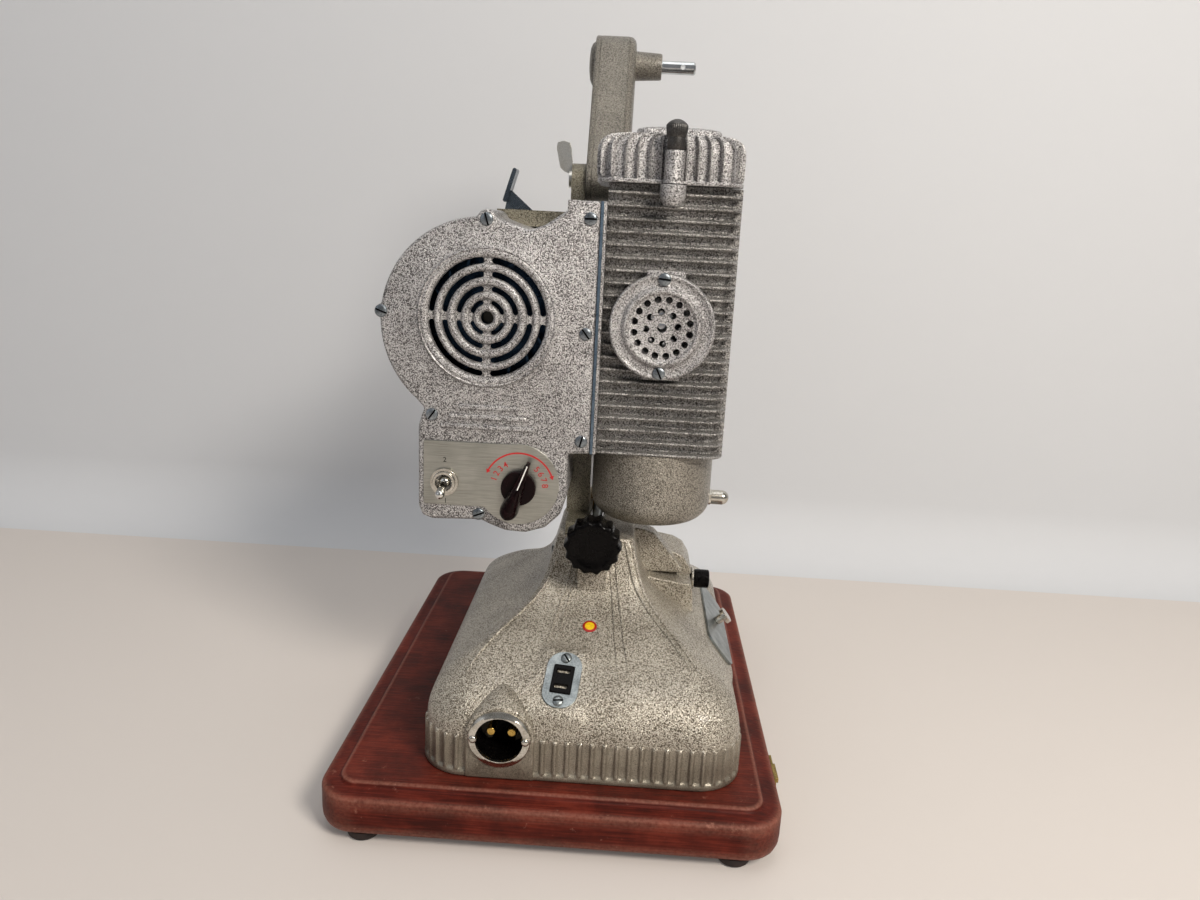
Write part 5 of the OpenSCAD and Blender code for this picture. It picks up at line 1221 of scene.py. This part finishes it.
cap_web = brick("cap_boss_web", (SCREW_AT[0] - 4.9, SCREW_AT[0] + 4.9), (-64.4, -54), (321.3, 336.6), cool_enamel)
fit(join("lamphouse_cap_ribbed", [hood_cap, cap_boss, cap_web]), "cap", "enamel", "lamphouse_cap")
KNURL_LOBES = 36
knurl_angle = circle(KNURL_LOBES * 4)
knurl = 0.22 * np.abs(np.sin(knurl_angle * KNURL_LOBES / 2))
head_rows = []
for radius, z, share_of in ((2.0, 312.5, 0), (2.0, 337.3, 0), (4.1, 337.35, 0), (4.35, 337.8, 0), (4.25, 342.9, 0),
                            (4.5, 343.1, 0), (4.75, 343.5, 1), (5.1, 345.6, 1), (5.38, 348.2, 1), (5.1, 348.8, 1),
                            (4.4, 349.6, 0), (3.2, 350.5, 0), (1.6, 351.2, 0), (0.05, 351.4, 0)):
    reach = radius - knurl * share_of
    head_rows.append((SCREW_AT[0] + reach * np.cos(knurl_angle), SCREW_AT[1] + reach * np.sin(knurl_angle), z))
gun_metal = metal("gun_metal_screw", "#6f6d6b", "#3a3836", 0.36, scratch_mm=0.5)
thumb = skin("cap_thumb_screw", loops(head_rows), gun_metal, ("flat", "point"), sharp=50)
fit(thumb, "cap_bolt", "grey_cast", "cap_screw")

# Gate and lens
# At the front: a swinging gate with the lens holder, and a lens barrel that slides for focus.

fit_eased("lens_mount", cool_enamel, 0.5, "gate", "enamel")
dress(bright_nickel, "upper_sprocket", "lower_sprocket")

# Reel arms
# The feed arm is a thick casting whose boss holds a polished spindle. It folds on a bolt beside
# the case, and a one-eared nut clamps it. The take-up arm hangs low at the front.

arm_enamel = hammertone("hammered_enamel_arm", "#4d4942", "#6f6a62", "#959085")
ARM_X, ARM_TOP, ARM_TOP_RADIUS, ARM_FOOT, ARM_FOOT_RADIUS = (-6.0, 19.5), (90.0, 399.0), 17.0, (45.0, 326.0), 13.0


def belt_outline(first, first_radius, second, second_radius, count=40):
    """Outline round two discs, as a belt would lie on them: the tangents meet each disc where
    its normal makes the angle acos((r1 - r2) / distance) with the line of centres."""
    first, second = np.array(first, float), np.array(second, float)
    away = second - first
    facing = math.atan2(away[1], away[0])
    tangent = math.acos((first_radius - second_radius) / np.hypot(*away))
    one = np.linspace(facing + tangent, facing + 2 * math.pi - tangent, count)
    two = np.linspace(facing - tangent, facing + tangent, count)
    return np.concatenate([first + first_radius * unit(one), second + second_radius * unit(two)])


arm_outline = closed(belt_outline(ARM_FOOT, ARM_FOOT_RADIUS, ARM_TOP, ARM_TOP_RADIUS), 1.2, 0.5)
ARM_ROWS = [  # across the arm from its left face, drawn in
    (0, 3.0), (0, 1.2), (0.25, 0.45), (1.0, 0), (2.9, 0), (3.1, 0.3), (3.4, 0.3), (3.6, 0), (20.6, 0), (20.9, 0.35),
    (21.3, 0.35), (21.6, 0.05), (23.2, 0.7), (24.6, 2.0), (25.3, 3.6), (25.5, 5.2)]
arm_body = skin("feed_arm_casting", [np.insert(drawn_in(arm_outline, inset), 0, ARM_X[0] + x, axis=1)
                                     for x, inset in ARM_ROWS], arm_enamel, sharp=40)
arm_dome = lathe("arm_dome", [(13.4, 0.2), (13.3, -0.6), (12.2, -2.1), (9.6, -3.3), (5.6, -3.85), (0.05, -4.0)],
                 (ARM_X[0], *ARM_TOP), "x", arm_enamel, 64, ("flat", "point"))
arm_boss = lathe("arm_boss", [(8.9, -1), (8.75, 0), (8.2, 10), (7.9, 15.4), (7.5, 16.3), (6.9, 16.5), (3.5, 16.5)],
                 (ARM_X[1], *ARM_TOP), "x", arm_enamel, 56)
fit(join("feed_arm_cast", [arm_body, arm_dome, arm_boss]), "feed_arm_body", "enamel", "feed_arm")
polished = metal("polished_spindle_steel", "#e4e6e6", "#b5b9ba", 0.12, scratch_mm=0.4)
dress(polished, "feed_spindle", "takeup_spindle")
nut_nickel = metal("nickel_wing_nut", "#f1efe9", "#c9c6bd", 0.3)
fit_eased("wing_nut", nut_nickel, 0.8, "arm_nut", "bright_steel")
fit_eased("takeup_arm", arm_enamel, 1.0, "takeup_arm_body", "enamel")

# Look
# Colours are shown as they are.

bpy.context.scene.view_settings.view_transform = "Standard"
